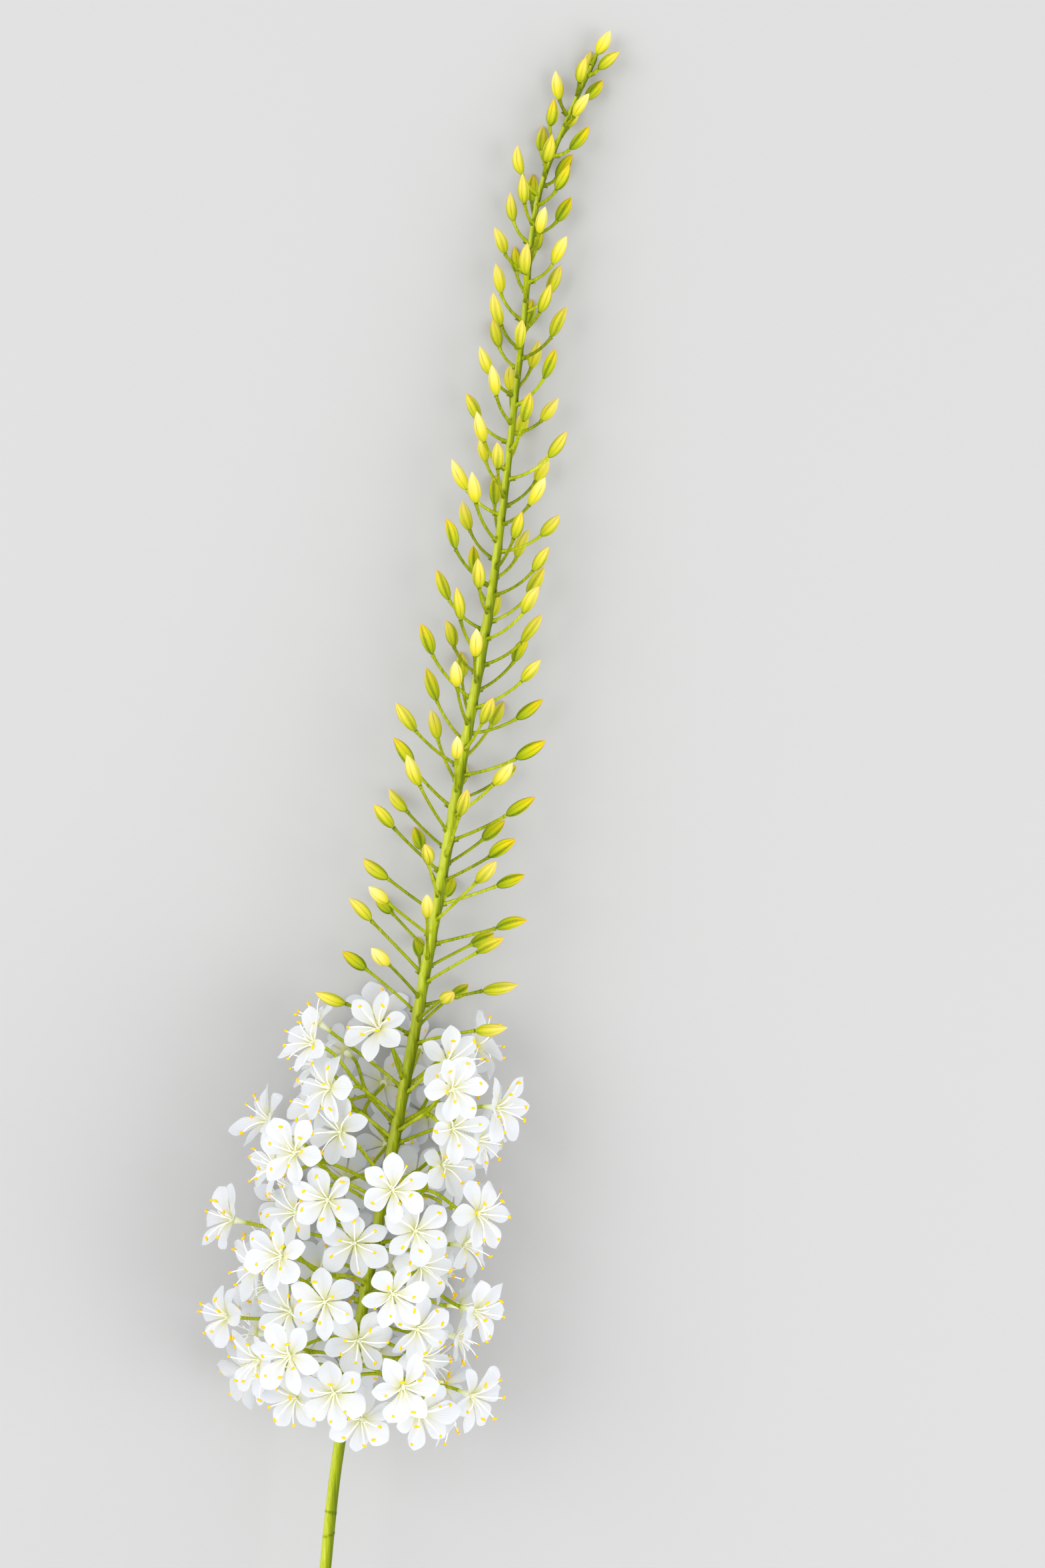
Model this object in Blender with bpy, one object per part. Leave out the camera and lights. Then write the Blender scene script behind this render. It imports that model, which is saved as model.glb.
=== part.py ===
"""A foxtail lily flower spike, cut and laid down on a flat surface.

The spike is worked out in its own plane: X across it, Y up the stem and Z to the side that is
looked at. An empty then lays it down, so that the surface it rests on is the plane Z = 0.
Buds and flowers follow one spiral up the stem, turned by the golden angle from each to the next.
"""

import math
import random

import bmesh
import bpy
import numpy as np
from mathutils import Matrix, Vector

# Stem, in metres: its line as (across, up) from the cut to the tip, and its radii
STEM_LINE = (
    (-0.0085, -0.090),
    (0.0, 0.0),
    (0.0047, 0.044),
    (0.0161, 0.112),
    (0.0376, 0.226),
    (0.0569, 0.336),
    (0.0722, 0.424),
    (0.0850, 0.533),
    (0.0915, 0.589),
    (0.1043, 0.624),
    (0.1164, 0.650),
)
STEM_RADII = (
    (-0.090, 0.0027),
    (0.0, 0.0025),
    (0.31, 0.00225),
    (0.41, 0.0020),
    (0.45, 0.0016),
    (0.650, 0.0009),
)
STEM_SIDES = 8

# How it lies: the stem's height above the surface where the flowers are, and its slope
LYING_AT = 0.150
LYING_HEIGHT = 0.047
LYING_SLOPE_DEG = 4.4
ORIGIN_ACROSS = 0.03725
ORIGIN_UP = 0.2887

GOLDEN_DEG = 137.508

# Buds: counted from the lowest, each on its own stalk. A short stalk bends too little for a middle
BUD_COUNT = 112
BUD_FIRST_AZIMUTH_DEG = 20.0
BUD_ROOTS = (0.226, 0.647)
BUD_LOW_SPACING = 0.85
BUD_STALK_LENGTHS = ((0.226, 0.031), (0.33, 0.027), (0.42, 0.021), (0.56, 0.013), (0.647, 0.005))
BUD_STALK_RISES_DEG = ((0.226, 20.0), (0.27, 31.0), (0.38, 42.0), (0.641, 50.0), (0.647, 84.0))
BUD_STALK_CURVES_DEG = ((0.226, -4.0), (0.31, 5.0), (0.40, 18.0), (0.61, 20.0), (0.647, 4.0))
BUD_STALK_RADIUS = 0.00062
BUD_LENGTHS = ((0.226, 0.0150), (0.40, 0.0143), (0.56, 0.0134), (0.647, 0.0122))
BUD_RADII = ((0.226, 0.0028), (0.40, 0.0027), (0.647, 0.0025))
BUD_STALK_PARTS = ((0.0, 1.3), (0.5, 1.0), (0.5, 1.0))
BUD_PARTS = ((0.30, 1.0), (0.68, 0.78), (1.0, 0.0))
BUD_SIDES = 4
BUD_BENT_UP_BY_DEG = 0.5
SHORT_STALK = 0.020
BUD_SEED = 4100

# How much one bud differs from the next: its place round the stem, its stalk and its body
BUD_AZIMUTH_VARIES_DEG = 10.0
BUD_RISE_VARIES_DEG = 9.0
BUD_STALK_VARIES = (0.86, 1.12)
BUD_LENGTH_VARIES = (0.88, 1.1)
BUD_RADIUS_VARIES = (0.92, 1.08)

# Flowers: counted from the lowest, at three depths in turn so that their petals pass each other
FLOWER_COUNT = 86
FLOWER_FIRST_AZIMUTH_DEG = 76.0
FLOWER_CENTRES = (0.071, 0.233)
FLOWER_ROOTS = (0.076, 0.212)
FLOWER_CROWDING = 1.15
FLOWER_REACHES = ((0.071, 0.043), (0.09, 0.0455), (0.14, 0.046), (0.19, 0.0405), (0.233, 0.032))
FLOWER_SHIFTS = ((0.08, 0.0), (0.14, -0.007), (0.19, -0.005), (0.233, 0.0))
FLOWER_DEPTHS = (-0.0095, 0.0095, 0.0)
FLOWER_FACES_UP_DEG = (-16.0, 22.0)
FLOWER_FACES_VIEWER = 0.35
FLOWER_TURN_DEG = 9.0
FLOWER_SIZES = (0.94, 1.04)
FLOWER_SEED = 2500
FLOWER_STALK_RADIUS = 0.00075
FLOWER_STALK_SIDES = 3
FLOWER_STALK_LEAVES = (0.85, 0.5)

# A flower that would cross others is drawn again, at most this far from its place on the spiral
FLOWER_DRAWS = 160
DRAWN_AZIMUTH_DEG = 18.0
DRAWN_UP = 0.006
DRAWN_DEPTH = 0.004
DRAWN_TURN_DEG = 16.0
BUDS_NEAR_FLOWERS = 36

# The points that the test for crossings looks at, on petals, stalks and where stamens stand. The
# stamens' threads are too thin for a solid and are left to the looks script, but keep their room
CLEAR_OF_PETALS = 0.0018
TESTED_EVERY = 0.0015
TESTED_RINGS = 5
TESTED_FROM = 0.003
TESTED_ROUND = 24
TESTED_STAMEN_SHARES = (0.5, 0.75, 1.0)
STAMEN_TIP = (0.0078, 0.0075)

# The front of the stem is bare at the top of the flowers
BARE_FROM = 0.178
BARE_HALF_ANGLE_DEG = 28.0
BARE_WITHIN_DEG = 120.0

# Underneath, the flowers are pressed flat against the surface, in three layers
PRESSED_LAYER = 0.0062
PRESSED_WITHIN = 0.008
PRESSED_START = 0.004

# One flower, about its throat, facing its own +Z. A belly or end: distance out, half width, height
PETALS = 6
THROAT_RADIUS = 0.0019
THROAT_RIM_HEIGHTS = (-0.0007, 0.0003)
THROAT_DEPTH = 0.0008
PETAL_BELLY = (0.0093, 0.0047, 0.0016)
PETAL_END = (0.0150, 0.0022, 0.0026)
PETAL_FOLD = 0.0008
PETAL_THICKNESS = 0.0010
TUBE_LENGTH = 0.0075
TUBE_END_RADIUS = 0.0009

# A fork: a stalk that carries a flower and the one eight places further up the spiral
FORK_STEP = 8
FORK_GROUPS = (0, 3, 6, 8)
FORK_AT = 0.55

# The gap between two nodes, and how far out a stalk starts in the stem, as a share of its radius
GAP = 0.0003
SUNK = 0.4
STALK_STATIONS = 4
STRAIGHT_END = 0.002
FORK_STATIONS = 3
ARM_SUNK = 0.0012

STEM_COLOUR = (0.36, 0.50, 0.03)
STEM_ROUGHNESS = 0.45
PETAL_COLOUR = (0.86, 0.88, 0.88)
PETAL_ROUGHNESS = 0.55


def interpolate(table, at):
    """The value at a point of a table of (place, value) pairs, straight between them."""
    if at <= table[0][0]:
        return table[0][1]
    for (start, low), (end, high) in zip(table, table[1:]):
        if at <= end:
            return low + (high - low) * (at - start) / (end - start)
    return table[-1][1]


def stem_slopes():
    """The stem line's lean at each of its points, from the neighbours on both sides."""
    slopes = []
    for index in range(len(STEM_LINE)):
        before = STEM_LINE[max(index - 1, 0)]
        after = STEM_LINE[min(index + 1, len(STEM_LINE) - 1)]
        slopes.append((after[0] - before[0]) / (after[1] - before[1]))
    return slopes


def stem_point(up):
    """The stem's centre at a height, and its direction there: a cubic through the line's points."""
    slopes = stem_slopes()
    index = 0
    while index < len(STEM_LINE) - 2 and up > STEM_LINE[index + 1][1]:
        index += 1
    (x0, y0), (x1, y1) = STEM_LINE[index], STEM_LINE[index + 1]
    span = y1 - y0
    t = (up - y0) / span
    rise = 3 * t * t - 2 * t ** 3
    across = x0 + (x1 - x0) * rise
    across += span * (slopes[index] * (t - 2 * t * t + t ** 3) + slopes[index + 1] * (t ** 3 - t * t))
    lean = (x1 - x0) / span * (6 * t - 6 * t * t)
    lean += slopes[index] * (1 - 4 * t + 3 * t * t) + slopes[index + 1] * (3 * t * t - 2 * t)
    return Vector((across, up, 0.0)), Vector((lean, 1.0, 0.0)).normalized()


def stem_heights():
    """Where the stem's tube has its rings: at each point of its line and half way between them."""
    ups = [up for _, up in STEM_LINE]
    halfway = [(low + high) / 2 for low, high in zip(ups, ups[1:])]
    return sorted(ups + halfway)


def outward(up, azimuth_deg):
    """The direction straight out of the stem: 0 degrees is to the right, 90 towards the viewer."""
    along = stem_point(up)[1]
    right = Vector((along.y, -along.x, 0.0))
    azimuth = math.radians(azimuth_deg)
    return right * math.cos(azimuth) + Vector((0.0, 0.0, math.sin(azimuth)))


def lying_height(up):
    """How far the surface is below the stem's plane, at a height up the stem."""
    return LYING_HEIGHT - (up - LYING_AT) * math.tan(math.radians(LYING_SLOPE_DEG))


def surface_normal():
    slope = math.radians(LYING_SLOPE_DEG)
    return Vector((0.0, -math.sin(slope), math.cos(slope)))


def height_above_surface(point):
    """How far a point is above the surface that the spike lies on."""
    return (point.z + lying_height(point.y)) * surface_normal().z


def bud_path(index):
    """A bud's stalk and body as one line with a radius at each point, bent up clear of the surface."""
    draw = random.Random(BUD_SEED + index)
    share = index / (BUD_COUNT - 1)
    spread = BUD_LOW_SPACING * share + (1 - BUD_LOW_SPACING) * share * share
    root = BUD_ROOTS[0] + (BUD_ROOTS[1] - BUD_ROOTS[0]) * spread
    azimuth = BUD_FIRST_AZIMUTH_DEG + index * GOLDEN_DEG
    azimuth += draw.uniform(-BUD_AZIMUTH_VARIES_DEG, BUD_AZIMUTH_VARIES_DEG)
    length = interpolate(BUD_STALK_LENGTHS, root) * draw.uniform(*BUD_STALK_VARIES)
    rise = interpolate(BUD_STALK_RISES_DEG, root)
    rise += draw.uniform(-BUD_RISE_VARIES_DEG, BUD_RISE_VARIES_DEG)
    body = interpolate(BUD_LENGTHS, root) * draw.uniform(*BUD_LENGTH_VARIES)
    belly = interpolate(BUD_RADII, root) * draw.uniform(*BUD_RADIUS_VARIES)
    while True:
        points, radii = bud_line(root, azimuth, length, rise, body, belly)
        if min(height_above_surface(point) - radius for point, radius in zip(points, radii)) > 0:
            return points, radii
        rise += BUD_BENT_UP_BY_DEG


def bud_line(root, azimuth, length, rise, body, belly):
    """The stalk's root, middle and end, then the bud's belly, shoulder and tip, with their radii."""
    centre, along = stem_point(root)
    out = outward(root, azimuth)
    points, radii = [], []
    place = centre + out * interpolate(STEM_RADII, root) * SUNK
    curve = interpolate(BUD_STALK_CURVES_DEG, root)
    heading = math.radians(rise - curve)
    bend = math.radians(2 * curve)
    for part, swell in BUD_STALK_PARTS:
        place = place + (out * math.cos(heading) + along * math.sin(heading)) * length * part
        heading += bend * part
        points.append(place)
        radii.append(BUD_STALK_RADIUS * swell)
    direction = out * math.cos(heading) + along * math.sin(heading)
    for reach, width in BUD_PARTS:
        points.append(place + direction * body * reach)
        radii.append(belly * width)
    return points, radii


def flower_place(index, draw, freedom):
    """A flower's throat, the way it faces, its turn about that way, and its size."""
    share = index / (FLOWER_COUNT - 1)
    up = FLOWER_CENTRES[0] + (FLOWER_CENTRES[1] - FLOWER_CENTRES[0]) * share ** FLOWER_CROWDING
    up += draw.uniform(-DRAWN_UP, DRAWN_UP) * freedom
    azimuth = clear_of_the_front(FLOWER_FIRST_AZIMUTH_DEG + index * GOLDEN_DEG, up)
    azimuth += draw.uniform(-DRAWN_AZIMUTH_DEG, DRAWN_AZIMUTH_DEG) * freedom
    layer = index % len(FLOWER_DEPTHS)
    depth = FLOWER_DEPTHS[layer] + draw.uniform(-DRAWN_DEPTH, DRAWN_DEPTH) * freedom
    out = outward(up, azimuth)
    centre, along = stem_point(up)
    place = centre + out * (interpolate(FLOWER_REACHES, up) + depth)
    place = place + outward(up, 0.0) * interpolate(FLOWER_SHIFTS, up)
    low, high = FLOWER_FACES_UP_DEG
    turning = FLOWER_TURN_DEG + DRAWN_TURN_DEG * freedom
    faces_up = math.radians(low + (high - low) * share + draw.uniform(-turning, turning))
    aside = math.radians(draw.uniform(-turning, turning))
    turn = math.radians(draw.uniform(0, 360 / PETALS))
    size = draw.uniform(*FLOWER_SIZES)
    facing = out * math.cos(faces_up) + along * math.sin(faces_up)
    facing = Matrix.Rotation(aside, 3, along) @ facing
    viewer = FLOWER_FACES_VIEWER * (1 + min(out.z, 0.0))
    facing = (facing + Vector((0.0, 0.0, viewer))).normalized()
    place, facing = pressed_flat(place, facing, layer, size)
    return place, facing, turn, size


def pressed_flat(place, facing, layer, size):
    """A flower near the surface turned to face it and lifted until its petal ends lie in its layer."""
    normal = surface_normal()
    rank = sorted(FLOWER_DEPTHS, reverse=True).index(FLOWER_DEPTHS[layer])
    least = PRESSED_LAYER * rank
    height = height_above_surface(place)
    flat = PETAL_END[1] * size
    pressed = min(max((least + flat + PRESSED_WITHIN + PRESSED_START - height) / PRESSED_WITHIN, 0.0), 1.0)
    facing = facing.lerp(-normal, pressed).normalized()
    lean = facing.dot(normal)
    reach = math.hypot(PETAL_END[0], PETAL_END[1])
    need = least + size * (reach * math.sqrt(max(1 - lean * lean, 0.0)) - PETAL_END[2] * lean)
    if height < need:
        place = place + normal * (need - height)
    return place, facing


def flower_places():
    """Every flower's place, each drawn again until its petals and stalk pass those placed before it."""
    places, petals, frames = [], [], []
    stalks = [dense(bud_path(index)[0]) for index in range(BUDS_NEAR_FLOWERS)]
    for index in range(FLOWER_COUNT):
        draw = random.Random(FLOWER_SEED + index)
        least = None
        for attempt in range(FLOWER_DRAWS):
            place = flower_place(index, draw, attempt / (FLOWER_DRAWS - 1))
            matrix = np.array(flower_matrix(place))
            petal = petal_points() @ matrix[:3, :3].T + matrix[:3, 3]
            if index - FORK_STEP in forked_indices():
                lines = forked_stalk(index - FORK_STEP, places[index - FORK_STEP], place)
            else:
                lines = [flower_stalk(index, place)]
            stalk = np.concatenate([dense(line) for line in lines])
            frame = np.linalg.inv(matrix)
            crossings = count_near(np.concatenate(petals + stalks), frame[None])
            if places:
                crossings += count_near(np.concatenate([petal, stalk]), np.array(frames))
            if least is None or crossings < least:
                least = crossings
                kept = place, petal, stalk, frame
            if crossings == 0:
                break
        places.append(kept[0])
        petals.append(kept[1])
        stalks.append(kept[2])
        frames.append(kept[3])
    return places


def dense(line):
    """Points close together along a line of straight pieces."""
    corners = np.array(line)
    along = np.concatenate([[0.0], np.cumsum(np.linalg.norm(np.diff(corners, axis=0), axis=1))])
    wanted = np.arange(0.0, along[-1], TESTED_EVERY)
    return np.stack([np.interp(wanted, along, corners[:, axis]) for axis in range(3)], axis=-1)


def petal_points():
    """Points spread over a flower's petals and stamens, in its own frame."""
    rings = np.linspace(TESTED_FROM, PETAL_END[0], TESTED_RINGS)
    radii, angles = np.meshgrid(rings, np.linspace(0.0, 2 * math.pi, TESTED_ROUND, endpoint=False))
    petals = np.stack([radii * np.cos(angles), radii * np.sin(angles), petal_height(radii)], axis=-1)
    round_throat = np.linspace(0.0, 2 * math.pi, PETALS, endpoint=False)
    shares, angles = np.meshgrid(TESTED_STAMEN_SHARES, round_throat)
    across, height = STAMEN_TIP
    stamens = [shares * across * np.cos(angles), shares * across * np.sin(angles), shares * height]
    return np.concatenate([petals.reshape(-1, 3), np.stack(stamens, axis=-1).reshape(-1, 3)])


def petal_height(radii):
    """How far a petal's middle stands in front of the throat, at a distance from it."""
    belly = PETAL_BELLY[2] - PETAL_THICKNESS / 2 + PETAL_FOLD / 2
    return np.interp(radii, [THROAT_RADIUS, PETAL_BELLY[0], PETAL_END[0]], [0.0, belly, PETAL_END[2]])


def count_near(points, frames):
    """How many of the points are too near the petals of the flowers that have these frames."""
    local = np.einsum("fij,pj->fpi", frames[:, :3, :3], points) + frames[:, None, :3, 3]
    radii = np.hypot(local[..., 0], local[..., 1])
    heights = local[..., 2] - petal_height(radii)
    return int(((radii < PETAL_END[0]) & (np.abs(heights) < CLEAR_OF_PETALS)).sum())


def clear_of_the_front(azimuth_deg, up):
    """The azimuth of a flower, moved aside where it would hide the bare front of the stem."""
    aside = (azimuth_deg - 90.0 + 180.0) % 360.0 - 180.0
    if up < BARE_FROM or abs(aside) > BARE_WITHIN_DEG:
        return azimuth_deg
    moved = BARE_HALF_ANGLE_DEG + abs(aside) * (1 - BARE_HALF_ANGLE_DEG / BARE_WITHIN_DEG)
    return 90.0 + math.copysign(moved, aside)


def flower_matrix(place):
    """Carries a flower's own frame to its place on the spike."""
    centre, facing, turn, size = place
    aimed = facing.to_track_quat("Z", "Y").to_matrix().to_4x4()
    return Matrix.Translation(centre) @ aimed @ Matrix.Rotation(turn, 4, "Z") @ Matrix.Scale(size, 4)


def tube_end(place, gap=0.0):
    """Where a flower's tube meets its stalk."""
    centre, facing, _, size = place
    return centre - facing * (TUBE_LENGTH * size + gap)


def stalk_curve(start, start_way, end, end_way, stations, until=1.0):
    """Points of a smooth stalk that leaves one place in one direction and arrives in another."""
    length = (end - start).length
    points = []
    for step in range(stations):
        t = until * step / (stations - 1)
        rise = 3 * t * t - 2 * t ** 3
        point = start.lerp(end, rise)
        point = point + start_way * length * (t - 2 * t * t + t ** 3)
        points.append(point + end_way * length * (t ** 3 - t * t))
    return points


def flower_stalk(index, place):
    """Points of a flower's own stalk, from inside the stem to just short of the flower's tube."""
    towards = place[0] - stem_point(place[0].y)[0]
    start, way = flower_stalk_start(index / (FLOWER_COUNT - 1), towards)
    points = stalk_curve(start, way, tube_end(place, GAP + STRAIGHT_END), place[1], STALK_STATIONS - 1)
    return points + [tube_end(place, GAP)]


def forked_indices():
    """The flowers that share a forked stalk with the one that is a fork's step further up."""
    return [index for index in range(FLOWER_COUNT - FORK_STEP) if index // FORK_STEP in FORK_GROUPS]


def forked_stalk(index, lower, upper):
    """The shared stalk up to the fork, and the arm to each flower's tube, as three lines of points."""
    share = (index + FORK_STEP / 2) / (FLOWER_COUNT - 1)
    middle = (tube_end(lower) + tube_end(upper)) / 2
    start, way = flower_stalk_start(share, middle - stem_point(middle.y)[0])
    shared = stalk_curve(start, way, middle, (lower[1] + upper[1]).normalized(), FORK_STATIONS, FORK_AT)
    fork = shared[-1]
    into = (shared[-1] - shared[-2]).normalized()
    arms = [
        stalk_curve(fork, into, tube_end(place, -ARM_SUNK), place[1], FORK_STATIONS)
        for place in (lower, upper)
    ]
    shared[-1] = fork - into * (GAP + FLOWER_STALK_RADIUS)
    return [shared] + arms


def flower_stalk_start(share, direction):
    """A flower stalk's root inside the stem, and the way it leaves."""
    root = FLOWER_ROOTS[0] + (FLOWER_ROOTS[1] - FLOWER_ROOTS[0]) * share ** FLOWER_CROWDING
    centre, along = stem_point(root)
    flat = (direction - along * direction.dot(along)).normalized()
    start = centre + flat * interpolate(STEM_RADII, root) * SUNK
    out, up = FLOWER_STALK_LEAVES
    return start, (flat * out + along * up).normalized()


def collection_named(name, hidden=False):
    made = bpy.data.collections.new(name)
    made.hide_render = hidden
    bpy.context.scene.collection.children.link(made)
    return made


def tube(points, radii, collection, sides=4):
    """A closed tube along points, as a mesh object: a curve with a bevel, its caps welded on."""
    curve = bpy.data.curves.new("tube", "CURVE")
    curve.dimensions = "3D"
    curve.use_fill_caps = True
    profile = None
    if sides % 2:
        profile = ring_profile(sides, collection)
        curve.bevel_mode = "OBJECT"
        curve.bevel_object = profile
    else:
        curve.bevel_depth = 1.0
        curve.bevel_resolution = (sides - 4) // 2
    spline = curve.splines.new("POLY")
    spline.points.add(len(points) - 1)
    for spot, point, radius in zip(spline.points, points, radii):
        spot.co = (*point, 1.0)
        spot.radius = radius
    shape = bpy.data.objects.new("tube", curve)
    collection.objects.link(shape)
    made = mesh_of(shape, collection)
    bpy.data.objects.remove(shape)
    if profile:
        bpy.data.objects.remove(profile)
    return made


def ring_profile(sides, collection):
    """A closed outline of radius 1 with a few equal sides, which a curve is bevelled with."""
    outline = bpy.data.curves.new("profile", "CURVE")
    outline.dimensions = "3D"
    spline = outline.splines.new("POLY")
    spline.points.add(sides - 1)
    spline.use_cyclic_u = True
    for side, spot in enumerate(spline.points):
        angle = 2 * math.pi * side / sides
        spot.co = (math.cos(angle), math.sin(angle), 0.0, 1.0)
    made = bpy.data.objects.new("profile", outline)
    collection.objects.link(made)
    return made


def mesh_of(shape, collection):
    """The evaluated shape as a mesh object, with its caps welded and its faces pointing out."""
    bpy.context.view_layer.update()
    evaluated = shape.evaluated_get(bpy.context.evaluated_depsgraph_get())
    mesh = bpy.data.meshes.new_from_object(evaluated)
    cage = bmesh.new()
    cage.from_mesh(mesh)
    bmesh.ops.remove_doubles(cage, verts=cage.verts, dist=1e-6)
    bmesh.ops.recalc_face_normals(cage, faces=cage.faces)
    cage.to_mesh(mesh)
    cage.free()
    made = bpy.data.objects.new(shape.name, mesh)
    made.matrix_world = shape.matrix_world
    collection.objects.link(made)
    return made


def joined(body, others):
    """Body with every object of a collection fused into it, and that collection emptied."""
    union = body.modifiers.new("fused", "BOOLEAN")
    union.operation = "UNION"
    union.operand_type = "COLLECTION"
    union.collection = others
    # EXACT leaves edges with three or more faces where the arms of a fork meet
    union.solver = "MANIFOLD"
    name = body.name
    fused = mesh_of(body, body.users_collection[0])
    for other in list(others.objects):
        bpy.data.objects.remove(other)
    bpy.data.collections.remove(others)
    bpy.data.objects.remove(body)
    fused.name = name
    return fused


def flower_solid(collection):
    """Six petals on a throat and its tube, each petal a blade with a fold along it."""
    cage = bmesh.new()
    half = math.pi / PETALS

    def spot(radius, angle, aside, height):
        turn = Matrix.Rotation(angle, 3, "Z")
        return cage.verts.new(turn @ Vector((radius, aside, height)))

    corners = [2 * half * petal - half for petal in range(PETALS)]
    rim_under, rim = THROAT_RIM_HEIGHTS
    rims = [spot(THROAT_RADIUS, angle, 0, rim) for angle in corners]
    undersides = [spot(THROAT_RADIUS, angle, 0, rim_under) for angle in corners]
    ends = [spot(TUBE_END_RADIUS, angle, 0, -TUBE_LENGTH) for angle in corners]
    throat = cage.verts.new((0, 0, -THROAT_DEPTH))
    cage.faces.new(list(reversed(ends)))
    for petal in range(PETALS):
        angle = 2 * half * petal
        after = (petal + 1) % PETALS
        right, left = rims[petal], rims[after]
        right_under, left_under = undersides[petal], undersides[after]
        belly, belly_half, belly_height = PETAL_BELLY
        end, end_half, end_height = PETAL_END
        belly_right = spot(belly, angle, -belly_half, belly_height + PETAL_FOLD)
        belly_left = spot(belly, angle, belly_half, belly_height + PETAL_FOLD)
        end_right = spot(end, angle, -end_half, end_height)
        end_left = spot(end, angle, end_half, end_height)
        fold = spot(belly, angle, 0, belly_height)
        fold_under = spot(belly, angle, 0, belly_height - PETAL_THICKNESS)
        cage.faces.new((throat, right, left))
        cage.faces.new((left_under, right_under, ends[petal], ends[after]))
        cage.faces.new((right, belly_right, fold))
        cage.faces.new((right, fold, left))
        cage.faces.new((left, fold, belly_left))
        cage.faces.new((fold, belly_right, end_right))
        cage.faces.new((fold, end_right, end_left))
        cage.faces.new((fold, end_left, belly_left))
        cage.faces.new((right_under, fold_under, belly_right))
        cage.faces.new((left_under, fold_under, right_under))
        cage.faces.new((left_under, belly_left, fold_under))
        cage.faces.new((fold_under, end_right, belly_right))
        cage.faces.new((fold_under, end_left, end_right))
        cage.faces.new((fold_under, belly_left, end_left))
        cage.faces.new((right, right_under, belly_right))
        cage.faces.new((left, belly_left, left_under))
    bmesh.ops.recalc_face_normals(cage, faces=cage.faces)
    mesh = bpy.data.meshes.new("flower")
    cage.to_mesh(mesh)
    cage.free()
    made = bpy.data.objects.new("flower", mesh)
    collection.objects.link(made)
    return made


def material_named(name, colour, roughness):
    made = bpy.data.materials.new(name)
    made.use_nodes = True
    shader = made.node_tree.nodes["Principled BSDF"]
    shader.inputs["Base Color"].default_value = (*colour, 1.0)
    shader.inputs["Roughness"].default_value = roughness
    shader.inputs["Metallic"].default_value = 0.0
    made.diffuse_color = (*colour, 1.0)
    return made


def forked_pair(index, places, stalks, collection, flower_object):
    """Two flowers on one forked stalk: the arms belong to the pair, the stalk to the stem."""
    upper = index + FORK_STEP
    shared, *arm_lines = forked_stalk(index, places[index], places[upper])
    tube(shared, [FLOWER_STALK_RADIUS] * len(shared), stalks, FLOWER_STALK_SIDES)
    body = flower_object(f"flower_pair_{index + 1:02d}", index)
    collection.objects.link(body)
    arms = collection_named("arms")
    for line in arm_lines:
        tube(line, [FLOWER_STALK_RADIUS] * len(line), arms, FLOWER_STALK_SIDES)
    arms.objects.link(flower_object("bloom", upper))
    return joined(body, arms)


def main():
    for thing in list(bpy.data.objects):
        bpy.data.objects.remove(thing)
    spike = collection_named("foxtail_lily_spike")
    green = material_named("stem_green", STEM_COLOUR, STEM_ROUGHNESS)
    white = material_named("petal_white", PETAL_COLOUR, PETAL_ROUGHNESS)

    laid = bpy.data.objects.new("laid_down", None)
    spike.objects.link(laid)
    slope = Matrix.Rotation(-math.radians(LYING_SLOPE_DEG), 4, "X")
    foot = slope @ Vector((ORIGIN_ACROSS, ORIGIN_UP, -lying_height(ORIGIN_UP)))
    laid.matrix_world = Matrix.Translation(-foot) @ slope

    heights = stem_heights()
    stem = tube(
        [stem_point(up)[0] for up in heights],
        [interpolate(STEM_RADII, up) for up in heights],
        spike,
        STEM_SIDES,
    )
    stem.name = "stem_with_buds"

    stalks = collection_named("stalks")
    for index in range(BUD_COUNT):
        points, radii = bud_path(index)
        root, middle, end = range(len(BUD_STALK_PARTS))
        if (points[end] - points[root]).length < SHORT_STALK:
            del points[middle], radii[middle]
        tube(points, radii, stalks, BUD_SIDES)

    places = flower_places()
    flower = flower_solid(spike)
    pieces = []

    def flower_object(name, index):
        made = bpy.data.objects.new(name, flower.data)
        made.matrix_world = flower_matrix(places[index])
        return made

    lower = forked_indices()
    upper = [index + FORK_STEP for index in lower]
    for index in range(FLOWER_COUNT):
        if index in upper:
            continue
        if index in lower:
            pieces.append(forked_pair(index, places, stalks, spike, flower_object))
            continue
        points = flower_stalk(index, places[index])
        tube(points, [FLOWER_STALK_RADIUS] * len(points), stalks, FLOWER_STALK_SIDES)
        single = flower_object(f"flower_{index + 1:02d}", index)
        spike.objects.link(single)
        pieces.append(single)

    stem = joined(stem, stalks)
    bpy.data.objects.remove(flower)
    stem.data.materials.clear()
    stem.data.materials.append(green)
    stem.parent = laid
    for piece in pieces:
        piece.data.materials.clear()
        piece.data.materials.append(white)
        piece.parent = laid


main()
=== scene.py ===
# %% [markdown]
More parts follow.
